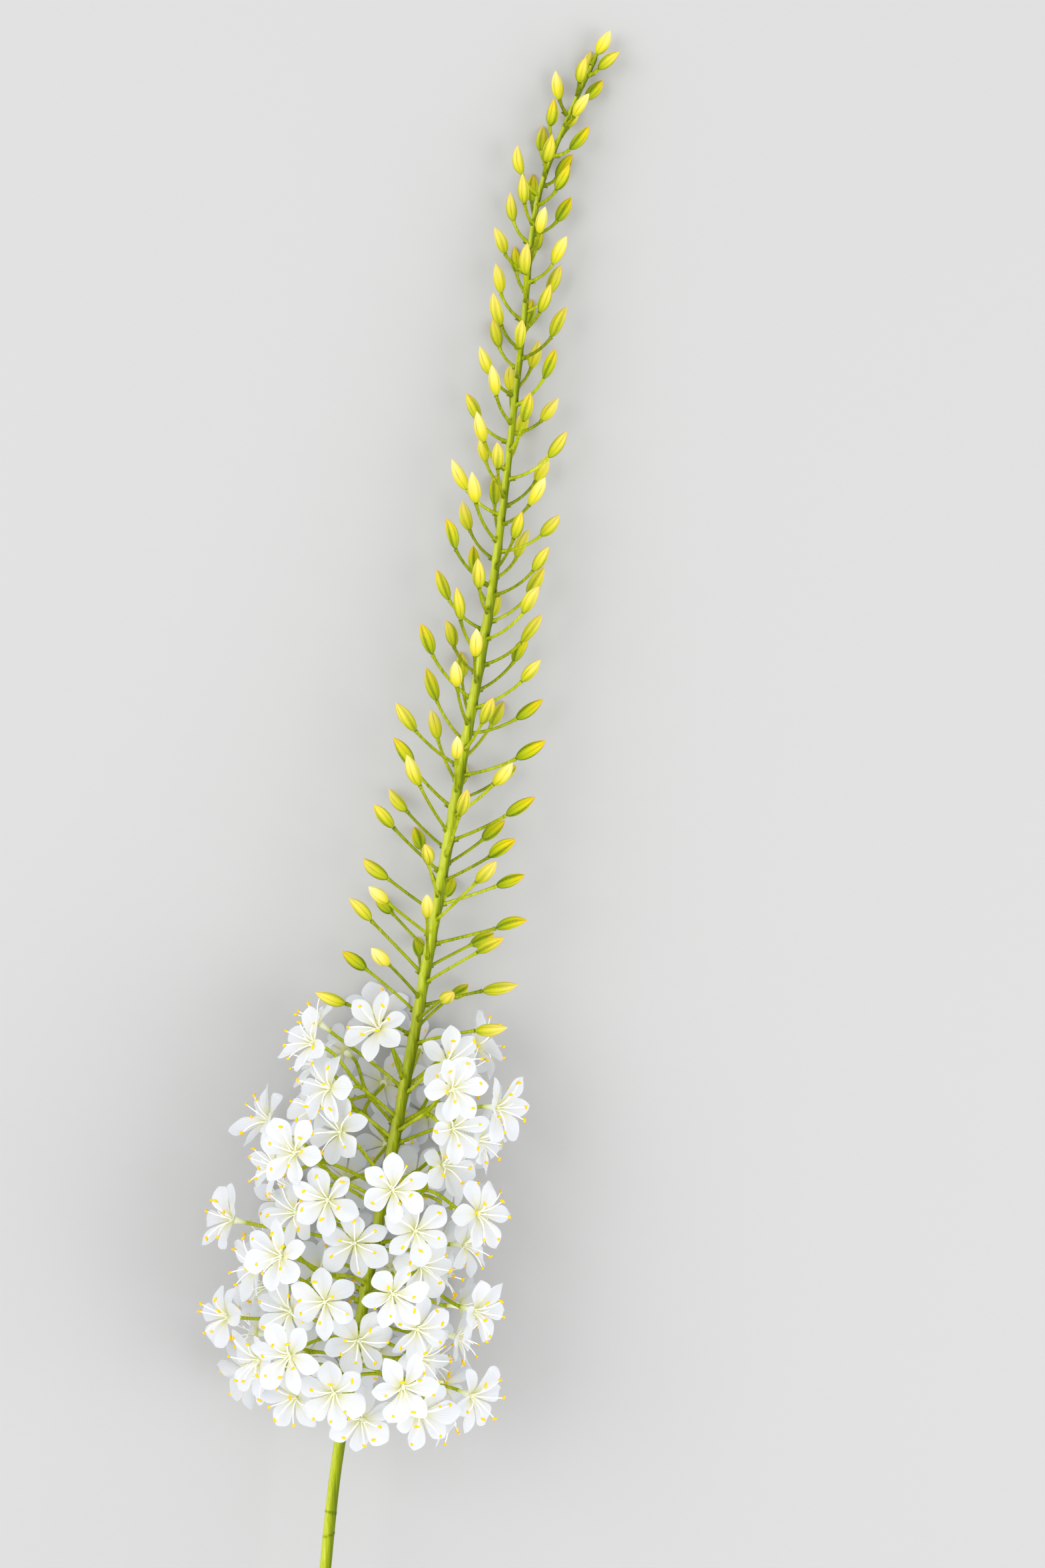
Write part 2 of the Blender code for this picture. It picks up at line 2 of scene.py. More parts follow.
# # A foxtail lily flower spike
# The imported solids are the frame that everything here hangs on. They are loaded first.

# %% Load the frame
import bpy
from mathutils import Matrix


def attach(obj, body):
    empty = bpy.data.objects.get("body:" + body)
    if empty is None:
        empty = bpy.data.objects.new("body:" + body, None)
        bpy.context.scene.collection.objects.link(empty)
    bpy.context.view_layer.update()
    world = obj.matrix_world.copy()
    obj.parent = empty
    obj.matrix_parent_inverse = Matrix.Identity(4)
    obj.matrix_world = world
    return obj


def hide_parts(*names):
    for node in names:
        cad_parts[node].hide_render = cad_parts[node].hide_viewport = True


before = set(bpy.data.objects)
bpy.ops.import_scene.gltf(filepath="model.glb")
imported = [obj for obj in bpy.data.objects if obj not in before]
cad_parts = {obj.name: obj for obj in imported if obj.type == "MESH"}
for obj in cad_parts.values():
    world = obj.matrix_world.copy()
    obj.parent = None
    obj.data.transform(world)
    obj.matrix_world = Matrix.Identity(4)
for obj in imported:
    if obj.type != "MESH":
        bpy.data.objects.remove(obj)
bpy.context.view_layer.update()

import math
import random

import bpy
import numpy as np
from mathutils import Matrix, Vector

print("nodes in the frame:", len(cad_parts))

# %% [markdown]
# ## The stem's line
# The real stem grew straight and then leaned towards the light, and its tip bends further over.
# A spline object could hold that line, but a cubic worked out from a few points can also be asked
# for its place and direction at any height, which every bud and flower needs. X is across the
# spike, Y up the stem and Z towards the viewer, as it stood before it was laid down.

# %% The stem's line
STEM_LINE = (
    (-0.0085, -0.090),
    (0.0, 0.0),
    (0.0047, 0.044),
    (0.0161, 0.112),
    (0.0376, 0.226),
    (0.0569, 0.336),
    (0.0722, 0.424),
    (0.0850, 0.533),
    (0.0915, 0.589),
    (0.1043, 0.624),
    (0.1164, 0.650),
)
STEM_RADII = (
    (-0.090, 0.0027),
    (0.0, 0.0025),
    (0.31, 0.00225),
    (0.41, 0.0020),
    (0.45, 0.0016),
    (0.650, 0.0009),
)


def interpolate(table, at):
    """The value at a point of a table of (place, value) pairs, straight between them."""
    if at <= table[0][0]:
        return table[0][1]
    for (start, low), (end, high) in zip(table, table[1:]):
        if at <= end:
            return low + (high - low) * (at - start) / (end - start)
    return table[-1][1]


def stem_slopes():
    """The stem line's lean at each of its points, from the neighbours on both sides."""
    slopes = []
    for index in range(len(STEM_LINE)):
        before = STEM_LINE[max(index - 1, 0)]
        after = STEM_LINE[min(index + 1, len(STEM_LINE) - 1)]
        slopes.append((after[0] - before[0]) / (after[1] - before[1]))
    return slopes


def stem_point(up):
    """The stem's centre at a height, and its direction there: a cubic through the line's points."""
    slopes = stem_slopes()
    index = 0
    while index < len(STEM_LINE) - 2 and up > STEM_LINE[index + 1][1]:
        index += 1
    (x0, y0), (x1, y1) = STEM_LINE[index], STEM_LINE[index + 1]
    span = y1 - y0
    t = (up - y0) / span
    rise = 3 * t * t - 2 * t ** 3
    across = x0 + (x1 - x0) * rise
    across += span * (slopes[index] * (t - 2 * t * t + t ** 3) + slopes[index + 1] * (t ** 3 - t * t))
    lean = (x1 - x0) / span * (6 * t - 6 * t * t)
    lean += slopes[index] * (1 - 4 * t + 3 * t * t) + slopes[index + 1] * (3 * t * t - 2 * t)
    return Vector((across, up, 0.0)), Vector((lean, 1.0, 0.0)).normalized()


def outward(up, azimuth_deg):
    """The direction straight out of the stem: 0 degrees is to the right, 90 towards the viewer."""
    along = stem_point(up)[1]
    right = Vector((along.y, -along.x, 0.0))
    azimuth = math.radians(azimuth_deg)
    return right * math.cos(azimuth) + Vector((0.0, 0.0, math.sin(azimuth)))


print("the stem runs over", round(STEM_LINE[-1][1] - STEM_LINE[0][1], 3), "m")

# %% [markdown]
# ## How it lies
# A cut spike lies on its flowers and its buds. The flowers reach further out, so the stem slopes
# down to its tip. Turning the finished objects would be simpler, but every mesh here holds its own
# place, so one matrix carries the points of the upright plan to where it lies.

# %% How it lies
LYING_AT = 0.150
LYING_HEIGHT = 0.047
LYING_SLOPE_DEG = 4.4
ORIGIN_ACROSS = 0.03725
ORIGIN_UP = 0.2887


def lying_height(up):
    """How far the surface is below the stem's plane, at a height up the stem."""
    return LYING_HEIGHT - (up - LYING_AT) * math.tan(math.radians(LYING_SLOPE_DEG))


def surface_normal():
    """The way straight up from the surface, in the upright plan."""
    slope = math.radians(LYING_SLOPE_DEG)
    return Vector((0.0, -math.sin(slope), math.cos(slope)))


def height_above_surface(point):
    """How far a point is above the surface that the spike lies on."""
    return (point.z + lying_height(point.y)) * surface_normal().z


def laid_down():
    """The matrix from the upright plan to the surface: turn by the slope, then shift."""
    slope = Matrix.Rotation(-math.radians(LYING_SLOPE_DEG), 4, "X")
    foot = slope @ Vector((ORIGIN_ACROSS, ORIGIN_UP, -lying_height(ORIGIN_UP)))
    return Matrix.Translation(-foot) @ slope


print("the stem's height above the surface at its flowers:", LYING_HEIGHT, "m")

# %% [markdown]
# ## Where the buds are
# Buds leave the stem one after another, each turned from the last by the golden angle of 137.5
# degrees, which is how the growing tip makes them. Low stalks are long and gently curved, and
# those near the tip are short and upright. A stored list of places would hide that rule, so each
# bud's place is worked out from its number, with seeded draws that vary it.

# %% Where the buds are
GOLDEN_DEG = 137.508
SUNK = 0.4
BUD_COUNT = 112
BUD_FIRST_AZIMUTH_DEG = 20.0
BUD_ROOTS = (0.226, 0.647)
BUD_LOW_SPACING = 0.85
BUD_STALK_LENGTHS = ((0.226, 0.031), (0.33, 0.027), (0.42, 0.021), (0.56, 0.013), (0.647, 0.005))
BUD_STALK_RISES_DEG = ((0.226, 20.0), (0.27, 31.0), (0.38, 42.0), (0.641, 50.0), (0.647, 84.0))
BUD_STALK_CURVES_DEG = ((0.226, -4.0), (0.31, 5.0), (0.40, 18.0), (0.61, 20.0), (0.647, 4.0))
BUD_STALK_RADIUS = 0.00062
BUD_LENGTHS = ((0.226, 0.0150), (0.40, 0.0143), (0.56, 0.0134), (0.647, 0.0122))
BUD_RADII = ((0.226, 0.0028), (0.40, 0.0027), (0.647, 0.0025))
BUD_STALK_PARTS = ((0.0, 1.3), (0.5, 1.0), (0.5, 1.0))
BUD_PARTS = ((0.30, 1.0), (0.68, 0.78), (1.0, 0.0))
BUD_BENT_UP_BY_DEG = 0.5
BUD_SEED = 4100
BUD_AZIMUTH_VARIES_DEG = 10.0
BUD_RISE_VARIES_DEG = 9.0
BUD_STALK_VARIES = (0.86, 1.12)
BUD_LENGTH_VARIES = (0.88, 1.1)
BUD_RADIUS_VARIES = (0.92, 1.08)


def bud_path(index):
    """A bud's stalk and body as one line with a radius at each point, bent up clear of the surface."""
    draw = random.Random(BUD_SEED + index)
    share = index / (BUD_COUNT - 1)
    spread = BUD_LOW_SPACING * share + (1 - BUD_LOW_SPACING) * share * share
    root = BUD_ROOTS[0] + (BUD_ROOTS[1] - BUD_ROOTS[0]) * spread
    azimuth = BUD_FIRST_AZIMUTH_DEG + index * GOLDEN_DEG
    azimuth += draw.uniform(-BUD_AZIMUTH_VARIES_DEG, BUD_AZIMUTH_VARIES_DEG)
    length = interpolate(BUD_STALK_LENGTHS, root) * draw.uniform(*BUD_STALK_VARIES)
    rise = interpolate(BUD_STALK_RISES_DEG, root)
    rise += draw.uniform(-BUD_RISE_VARIES_DEG, BUD_RISE_VARIES_DEG)
    body = interpolate(BUD_LENGTHS, root) * draw.uniform(*BUD_LENGTH_VARIES)
    belly = interpolate(BUD_RADII, root) * draw.uniform(*BUD_RADIUS_VARIES)
    while True:
        points, radii = bud_line(root, azimuth, length, rise, body, belly)
        if min(height_above_surface(point) - radius for point, radius in zip(points, radii)) > 0:
            return points, radii
        rise += BUD_BENT_UP_BY_DEG


def bud_line(root, azimuth, length, rise, body, belly):
    """The stalk's root, middle and end, then the bud's belly, shoulder and tip, with their radii."""
    centre, along = stem_point(root)
    out = outward(root, azimuth)
    points, radii = [], []
    place = centre + out * interpolate(STEM_RADII, root) * SUNK
    curve = interpolate(BUD_STALK_CURVES_DEG, root)
    heading = math.radians(rise - curve)
    bend = math.radians(2 * curve)
    for part, swell in BUD_STALK_PARTS:
        place = place + (out * math.cos(heading) + along * math.sin(heading)) * length * part
        heading += bend * part
        points.append(place)
        radii.append(BUD_STALK_RADIUS * swell)
    direction = out * math.cos(heading) + along * math.sin(heading)
    for reach, width in BUD_PARTS:
        points.append(place + direction * body * reach)
        radii.append(belly * width)
    return points, radii


bud_lines = [bud_path(index) for index in range(BUD_COUNT)]
print("buds placed:", len(bud_lines))

# %% [markdown]
# ## Where the flowers are
# The open flowers carry on the same spiral below the buds, crowded into a loose cylinder. They
# could be spread evenly over it, but real ones stand in and out in layers, face a little up or down,
# and leave the front of the stem bare at the top. So a flower's place follows the spiral with seeded
# draws. Those near the surface are turned to face it and pressed flat in layers, as soft petals are.

# %% Clear of the front and of the surface
FLOWER_DEPTHS = (-0.0095, 0.0095, 0.0)
BARE_FROM = 0.178
BARE_HALF_ANGLE_DEG = 28.0
BARE_WITHIN_DEG = 120.0
PRESSED_LAYER = 0.0062
PRESSED_WITHIN = 0.008
PRESSED_START = 0.004
PETAL_END = (0.0150, 0.0022, 0.0026)


def clear_of_the_front(azimuth_deg, up):
    """The azimuth of a flower, moved aside where it would hide the bare front of the stem."""
    aside = (azimuth_deg - 90.0 + 180.0) % 360.0 - 180.0
    if up < BARE_FROM or abs(aside) > BARE_WITHIN_DEG:
        return azimuth_deg
    moved = BARE_HALF_ANGLE_DEG + abs(aside) * (1 - BARE_HALF_ANGLE_DEG / BARE_WITHIN_DEG)
    return 90.0 + math.copysign(moved, aside)


def pressed_flat(place, facing, layer, size):
    """A flower near the surface turned to face it and lifted until its petal ends lie in its layer."""
    normal = surface_normal()
    rank = sorted(FLOWER_DEPTHS, reverse=True).index(FLOWER_DEPTHS[layer])
    least = PRESSED_LAYER * rank
    height = height_above_surface(place)
    flat = PETAL_END[1] * size
    pressed = min(max((least + flat + PRESSED_WITHIN + PRESSED_START - height) / PRESSED_WITHIN, 0.0), 1.0)
    facing = facing.lerp(-normal, pressed).normalized()
    lean = facing.dot(normal)
    reach = math.hypot(PETAL_END[0], PETAL_END[1])
    need = least + size * (reach * math.sqrt(max(1 - lean * lean, 0.0)) - PETAL_END[2] * lean)
    if height < need:
        place = place + normal * (need - height)
    return place, facing, pressed


print("a flower in the middle of the front moves to", clear_of_the_front(90.0, BARE_FROM), "degrees")

# %% One flower's place on the spiral
FLOWER_COUNT = 86
FLOWER_FIRST_AZIMUTH_DEG = 76.0
FLOWER_CENTRES = (0.071, 0.233)
FLOWER_CROWDING = 1.15
FLOWER_REACHES = ((0.071, 0.043), (0.09, 0.0455), (0.14, 0.046), (0.19, 0.0405), (0.233, 0.032))
FLOWER_SHIFTS = ((0.08, 0.0), (0.14, -0.007), (0.19, -0.005), (0.233, 0.0))
FLOWER_FACES_UP_DEG = (-16.0, 22.0)
FLOWER_FACES_VIEWER = 0.35
FLOWER_TURN_DEG = 9.0
FLOWER_SIZES = (0.94, 1.04)
FLOWER_SEED = 2500
DRAWN_AZIMUTH_DEG = 18.0
DRAWN_UP = 0.006
DRAWN_DEPTH = 0.004
DRAWN_TURN_DEG = 16.0
PETALS = 6


def flower_place(index, draw, freedom):
    """A flower's throat, the way it faces, its turn about that way, its size, and how far it is pressed."""
    share = index / (FLOWER_COUNT - 1)
    up = FLOWER_CENTRES[0] + (FLOWER_CENTRES[1] - FLOWER_CENTRES[0]) * share ** FLOWER_CROWDING
    up += draw.uniform(-DRAWN_UP, DRAWN_UP) * freedom
    azimuth = clear_of_the_front(FLOWER_FIRST_AZIMUTH_DEG + index * GOLDEN_DEG, up)
    azimuth += draw.uniform(-DRAWN_AZIMUTH_DEG, DRAWN_AZIMUTH_DEG) * freedom
    layer = index % len(FLOWER_DEPTHS)
    depth = FLOWER_DEPTHS[layer] + draw.uniform(-DRAWN_DEPTH, DRAWN_DEPTH) * freedom
    out = outward(up, azimuth)
    centre, along = stem_point(up)
    place = centre + out * (interpolate(FLOWER_REACHES, up) + depth)
    place = place + outward(up, 0.0) * interpolate(FLOWER_SHIFTS, up)
    low, high = FLOWER_FACES_UP_DEG
    turning = FLOWER_TURN_DEG + DRAWN_TURN_DEG * freedom
    faces_up = math.radians(low + (high - low) * share + draw.uniform(-turning, turning))
    aside = math.radians(draw.uniform(-turning, turning))
    turn = math.radians(draw.uniform(0, 360 / PETALS))
    size = draw.uniform(*FLOWER_SIZES)
    facing = out * math.cos(faces_up) + along * math.sin(faces_up)
    facing = Matrix.Rotation(aside, 3, along) @ facing
    viewer = FLOWER_FACES_VIEWER * (1 + min(out.z, 0.0))
    facing = (facing + Vector((0.0, 0.0, viewer))).normalized()
    place, facing, pressed = pressed_flat(place, facing, layer, size)
    return place, facing, turn, size, pressed


def flower_matrix(place):
    """Carries a flower's own frame to its place on the spike."""
    centre, facing, turn, size, _ = place
    aimed = facing.to_track_quat("Z", "Y").to_matrix().to_4x4()
    return Matrix.Translation(centre) @ aimed @ Matrix.Rotation(turn, 4, "Z") @ Matrix.Scale(size, 4)


first_place = flower_place(0, random.Random(FLOWER_SEED), 0.0)
print("the first flower's throat:", [round(value, 4) for value in first_place[0]])

# %% [markdown]
# ## Flower stalks
# Each flower stands on a thin stalk that leaves the stem slanting up and bends into the flower's
# tube, and low on a real spike some stalks fork and carry two flowers. Straight sticks would do
# behind the petals, but they show through the gaps, so each is a smooth curve that is given a
# direction at both ends.

# %% Stalks of single flowers
FLOWER_ROOTS = (0.076, 0.212)
FLOWER_STALK_LEAVES = (0.85, 0.5)
TUBE_LENGTH = 0.0075
GAP = 0.0003
STALK_STATIONS = 4
STRAIGHT_END = 0.002


def tube_end(place, gap=0.0):
    """Where a flower's tube meets its stalk."""
    centre, facing, _, size, _ = place
    return centre - facing * (TUBE_LENGTH * size + gap)


def stalk_curve(start, start_way, end, end_way, stations, until=1.0):
    """Points of a smooth stalk that leaves one place in one direction and arrives in another."""
    length = (end - start).length
    points = []
    for step in range(stations):
        t = until * step / (stations - 1)
        rise = 3 * t * t - 2 * t ** 3
        point = start.lerp(end, rise)
        point = point + start_way * length * (t - 2 * t * t + t ** 3)
        points.append(point + end_way * length * (t ** 3 - t * t))
    return points


def flower_stalk(index, place, stations=STALK_STATIONS, gap=GAP):
    """Points of a flower's own stalk, from inside the stem to the flower's tube."""
    towards = place[0] - stem_point(place[0].y)[0]
    start, way = flower_stalk_start(index / (FLOWER_COUNT - 1), towards)
    points = stalk_curve(start, way, tube_end(place, gap + STRAIGHT_END), place[1], stations - 1)
    return points + [tube_end(place, gap)]


def flower_stalk_start(share, direction):
    """A flower stalk's root inside the stem, and the way it leaves."""
    root = FLOWER_ROOTS[0] + (FLOWER_ROOTS[1] - FLOWER_ROOTS[0]) * share ** FLOWER_CROWDING
    centre, along = stem_point(root)
    flat = (direction - along * direction.dot(along)).normalized()
    start = centre + flat * interpolate(STEM_RADII, root) * SUNK
    out, up = FLOWER_STALK_LEAVES
    return start, (flat * out + along * up).normalized()


print("the first flower's stalk starts at:", [round(value, 4) for value in flower_stalk(0, first_place)[0]])

# %% Forked stalks
FORK_STEP = 8
FORK_GROUPS = (0, 3, 6, 8)
FORK_AT = 0.55
FORK_STATIONS = 3
FLOWER_STALK_RADIUS = 0.00075
ARM_SUNK = 0.0012


def forked_indices():
    """The flowers that share a forked stalk with the one that is a fork's step further up."""
    return [index for index in range(FLOWER_COUNT - FORK_STEP) if index // FORK_STEP in FORK_GROUPS]


def fork_of(index, lower, upper):
    """How a shared stalk starts and aims, the place where it forks, and its way into the fork."""
    share = (index + FORK_STEP / 2) / (FLOWER_COUNT - 1)
    middle = (tube_end(lower) + tube_end(upper)) / 2
    start, way = flower_stalk_start(share, middle - stem_point(middle.y)[0])
    aim = (lower[1] + upper[1]).normalized()
    shared = stalk_curve(start, way, middle, aim, FORK_STATIONS, FORK_AT)
    into = (shared[-1] - shared[-2]).normalized()
    return start, way, middle, aim, shared, into


def forked_stalk(index, lower, upper):
    """The shared stalk up to the fork, and the arm to each flower's tube, as three lines of points."""
    start, way, middle, aim, shared, into = fork_of(index, lower, upper)
    fork = shared[-1]
    arms = [
        stalk_curve(fork, into, tube_end(place, -ARM_SUNK), place[1], FORK_STATIONS)
        for place in (lower, upper)
    ]
    shared[-1] = fork - into * (GAP + FLOWER_STALK_RADIUS)
    return [shared] + arms


print("pairs that share a forked stalk:", len(forked_indices()))

# %% [markdown]
# ## Flowers that pass each other
# Real petals slip past each other as they open. A cloth simulation could part them, but it would
# take minutes. Instead each flower is drawn again, a little further from its place each time, until
# no point of its petals, stamens and stalk comes near another flower's petals, and none of theirs
# near its own. If none of its draws passes, the one with the fewest such points is kept.

# %% Points near petals
CLEAR_OF_PETALS = 0.0018
TESTED_EVERY = 0.0015
TESTED_RINGS = 5
TESTED_FROM = 0.003
TESTED_ROUND = 24
TESTED_STAMEN_SHARES = (0.5, 0.75, 1.0)
THROAT_RADIUS = 0.0019
PETAL_BELLY = (0.0093, 0.0047, 0.0016)
PETAL_FOLD = 0.0008
PETAL_THICKNESS = 0.0010
STAMEN_TIP = (0.0078, 0.0075)


def dense(line):
    """Points close together along a line of straight pieces."""
    corners = np.array(line)
    along = np.concatenate([[0.0], np.cumsum(np.linalg.norm(np.diff(corners, axis=0), axis=1))])
    wanted = np.arange(0.0, along[-1], TESTED_EVERY)
    return np.stack([np.interp(wanted, along, corners[:, axis]) for axis in range(3)], axis=-1)


def petal_height(radii):
    """How far a petal's middle stands in front of the throat, at a distance from it."""
    belly = PETAL_BELLY[2] - PETAL_THICKNESS / 2 + PETAL_FOLD / 2
    return np.interp(radii, [THROAT_RADIUS, PETAL_BELLY[0], PETAL_END[0]], [0.0, belly, PETAL_END[2]])


def petal_points():
    """Points spread over a flower's petals and stamens, in its own frame."""
    rings = np.linspace(TESTED_FROM, PETAL_END[0], TESTED_RINGS)
    radii, angles = np.meshgrid(rings, np.linspace(0.0, 2 * math.pi, TESTED_ROUND, endpoint=False))
    petals = np.stack([radii * np.cos(angles), radii * np.sin(angles), petal_height(radii)], axis=-1)
    round_throat = np.linspace(0.0, 2 * math.pi, PETALS, endpoint=False)
    shares, angles = np.meshgrid(TESTED_STAMEN_SHARES, round_throat)
    across, height = STAMEN_TIP
    stamens = [shares * across * np.cos(angles), shares * across * np.sin(angles), shares * height]
    return np.concatenate([petals.reshape(-1, 3), np.stack(stamens, axis=-1).reshape(-1, 3)])


def count_near(points, frames):
    """How many of the points are too near the petals of the flowers that have these frames."""
    local = np.einsum("fij,pj->fpi", frames[:, :3, :3], points) + frames[:, None, :3, 3]
    radii = np.hypot(local[..., 0], local[..., 1])
    heights = local[..., 2] - petal_height(radii)
    return int(((radii < PETAL_END[0]) & (np.abs(heights) < CLEAR_OF_PETALS)).sum())


print("points tested on each flower:", len(petal_points()))

# %% Flowers drawn again until they pass each other
FLOWER_DRAWS = 160
BUDS_NEAR_FLOWERS = 36


def flower_places():
    """Every flower's place, each drawn again until its petals and stalk pass those placed before it."""
    places, petals, frames = [], [], []
    stalks = [dense(points) for points, _ in bud_lines[:BUDS_NEAR_FLOWERS]]
    for index in range(FLOWER_COUNT):
        draw = random.Random(FLOWER_SEED + index)
        least = None
        for attempt in range(FLOWER_DRAWS):
            place = flower_place(index, draw, attempt / (FLOWER_DRAWS - 1))
            matrix = np.array(flower_matrix(place))
            petal = petal_points() @ matrix[:3, :3].T + matrix[:3, 3]
            if index - FORK_STEP in forked_indices():
                lines = forked_stalk(index - FORK_STEP, places[index - FORK_STEP], place)
            else:
                lines = [flower_stalk(index, place)]
            stalk = np.concatenate([dense(line) for line in lines])
            frame_of_it = np.linalg.inv(matrix)
            crossings = count_near(np.concatenate(petals + stalks), frame_of_it[None])
            if places:
                crossings += count_near(np.concatenate([petal, stalk]), np.array(frames))
            if least is None or crossings < least:
                least = crossings
                kept = place, petal, stalk, frame_of_it
            if crossings == 0:
                break
        places.append(kept[0])
        petals.append(kept[1])
        stalks.append(kept[2])
        frames.append(kept[3])
    return places


places = flower_places()
forked = forked_indices()
print("flowers placed:", len(places), "forked pairs:", len(forked))

# %% [markdown]
# ## Rings round a line
# Every piece of the spike is a surface that closes round a line: a stem, a stalk, a bud, a petal
# seen as a very flat tube. Each could be modelled by hand and copied, but then all would be alike.
# So rings of points are laid square to lines, for all copies of a piece at once, which keeps 86
# flowers quick to make.

# %% Rings round a line
STRAIGHT_BELOW = 1e-2
OFF_AXIS = (0.3, 0.5, 0.8)


def unit(vectors):
    """Vectors divided by their lengths."""
    return vectors / np.maximum(np.linalg.norm(vectors, axis=-1, keepdims=True), 1e-12)


def round_angles(count):
    """Angles spread evenly round a circle, in radians."""
    return 2 * np.pi * np.arange(count) / count


def rings_along(paths, radii, sides):
    """Rings round paths: path + radius (side cos a + lift sin a), side and lift square to the path.

    paths is (copies, rows, 3), and radii is one value or ends in axes for the rows and the sides.
    """
    tangents = unit(np.gradient(paths, axis=1))
    first = tangents[:, 0]
    bend = np.cross(first, tangents[:, -1])
    spare = np.cross(first, np.roll(first, 1, axis=-1) + OFF_AXIS)
    straight = np.linalg.norm(bend, axis=-1, keepdims=True) < STRAIGHT_BELOW
    side = np.where(straight, unit(spare), unit(bend))[:, None]
    side = unit(side - tangents * (tangents * side).sum(-1, keepdims=True))
    lift = np.cross(tangents, side)
    angles = round_angles(sides)[:, None]
    wide = side[:, :, None] * np.cos(angles) + lift[:, :, None] * np.sin(angles)
    return paths[:, :, None] + np.asarray(radii)[..., None] * wide


print("a ring of four, in degrees:", np.degrees(round_angles(4)))

# %% [markdown]
# ## Blocks of points into a mesh
# A block of points is indexed by copy, row along the line and place round it, so its faces follow
# from its size alone, and a flat cap closes each end. Cylinders with modifiers could be joined
# instead, but a block also carries marks, one value at each point, that the materials read to
# colour a petal from its throat to its end, however it is turned. What would dip into the surface
# is lifted a little above it, as a soft tip is.

# %% Marks and faces of a block
MARKS = ("along", "across", "tone")


def marked(points, finish, **marks):
    """A block of points, its material, and a value of each mark at each point, 0 if none is given."""
    shape = points.shape[:-1]
    return points, finish, {name: np.broadcast_to(marks.get(name, 0.0), shape) for name in MARKS}


def faces_of(copies, rows, sides, first):
    """Corners of the four-sided faces between rows, and of the flat caps that close both ends."""
    row, column = np.meshgrid(np.arange(rows - 1), np.arange(sides), indexing="ij")
    after = (column + 1) % sides
    cell = np.stack([row * sides + column, row * sides + after], axis=-1)
    cell = np.concatenate([cell, cell[..., ::-1] + sides], axis=-1).reshape(-1, 4)
    starts = first + np.arange(copies) * rows * sides
    ring = np.arange(sides)
    feet = starts[:, None] + ring[::-1]
    tips = starts[:, None] + (rows - 1) * sides + ring
    return (starts[:, None, None] + cell).reshape(-1, 4), np.concatenate([feet, tips])


print("marks on every point:", MARKS)

# %% One piece from its blocks
LAID = np.array(laid_down())
SHARP_FROM_DEG = 80.0
SOFT_TIP_LIFT = 0.0004


def rested(heights):
    """Heights over the surface: h down to a soft tip's lift l, then l e^((h - l) / l), above 0."""
    low = SOFT_TIP_LIFT * np.exp(np.minimum(heights, SOFT_TIP_LIFT) / SOFT_TIP_LIFT - 1)
    return np.maximum(heights, low)


def make_piece(name, blocks, slot, *nodes):
    """One object from marked blocks, carried to where the spike lies. It stands for the CAD nodes."""
    finishes = list(dict.fromkeys(finish for _, finish, _ in blocks))
    points, corners, sizes, used = [], [], [], []
    first = 0
    for block, finish, _ in blocks:
        copies, rows, sides = block.shape[:3]
        quads, caps = faces_of(copies, rows, sides, first)
        points.append(block.reshape(-1, 3))
        corners += [quads.ravel(), caps.ravel()]
        sizes += [np.full(len(quads), 4), np.full(len(caps), sides)]
        used.append(np.full(len(quads) + len(caps), finishes.index(finish)))
        first += copies * rows * sides
    points = np.concatenate(points) @ LAID[:3, :3].T + LAID[:3, 3]
    points[:, 2] = rested(points[:, 2])
    corners, sizes = np.concatenate(corners), np.concatenate(sizes)
    mesh = bpy.data.meshes.new(name)
    mesh.vertices.add(len(points))
    mesh.vertices.foreach_set("co", points.ravel())
    mesh.loops.add(len(corners))
    mesh.loops.foreach_set("vertex_index", corners)
    mesh.polygons.add(len(sizes))
    mesh.polygons.foreach_set("loop_start", np.cumsum(sizes) - sizes)
    mesh.polygons.foreach_set("material_index", np.concatenate(used))
    mesh.polygons.foreach_set("use_smooth", np.ones(len(sizes), bool))
    for mark in MARKS:
        values = np.concatenate([marks[mark].ravel() for _, _, marks in blocks])
        mesh.attributes.new(mark, "FLOAT", "POINT").data.foreach_set("value", values.astype(np.float32))
    mesh.update(calc_edges=True)
    mesh.validate()
    mesh.set_sharp_from_angle(angle=math.radians(SHARP_FROM_DEG))
    for finish in finishes:
        mesh.materials.append(finish)
    made = bpy.data.objects.new(name, mesh)
    bpy.context.scene.collection.objects.link(made)
    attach(made, "root")
    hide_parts(*nodes)
    return made


def triangles(thing):
    """How many triangles an object's faces come to."""
    return sum(len(polygon.vertices) - 2 for polygon in thing.data.polygons)


print("a tip at the surface is lifted by", round(float(rested(0.0)), 6), "m")

# %% [markdown]
# ## Colours and nodes
# A finish is a tree of nodes that ends in a shader. Nodes take linear numbers, but sRGB hex values
# can be held against a colour chart, so colours are written as these, and one function turns them
# linear. One small function adds a node with its settings and links, and one adds the relief and
# the shader that every tissue of the spike needs.

# %% Colours


def linear(hex_colour):
    """An sRGB hex colour as linear red, green, blue and alpha: ((c + 0.055) / 1.055) ^ 2.4."""
    values = [int(hex_colour[place:place + 2], 16) / 255 for place in (1, 3, 5)]
    return [v / 12.92 if v <= 0.04045 else ((v + 0.055) / 1.055) ** 2.4 for v in values] + [1.0]


print("colour check, mid grey:", [round(value, 3) for value in linear("#808080")])

# %% Nodes
MILLIMETRES_PER_METRE = 1000.0


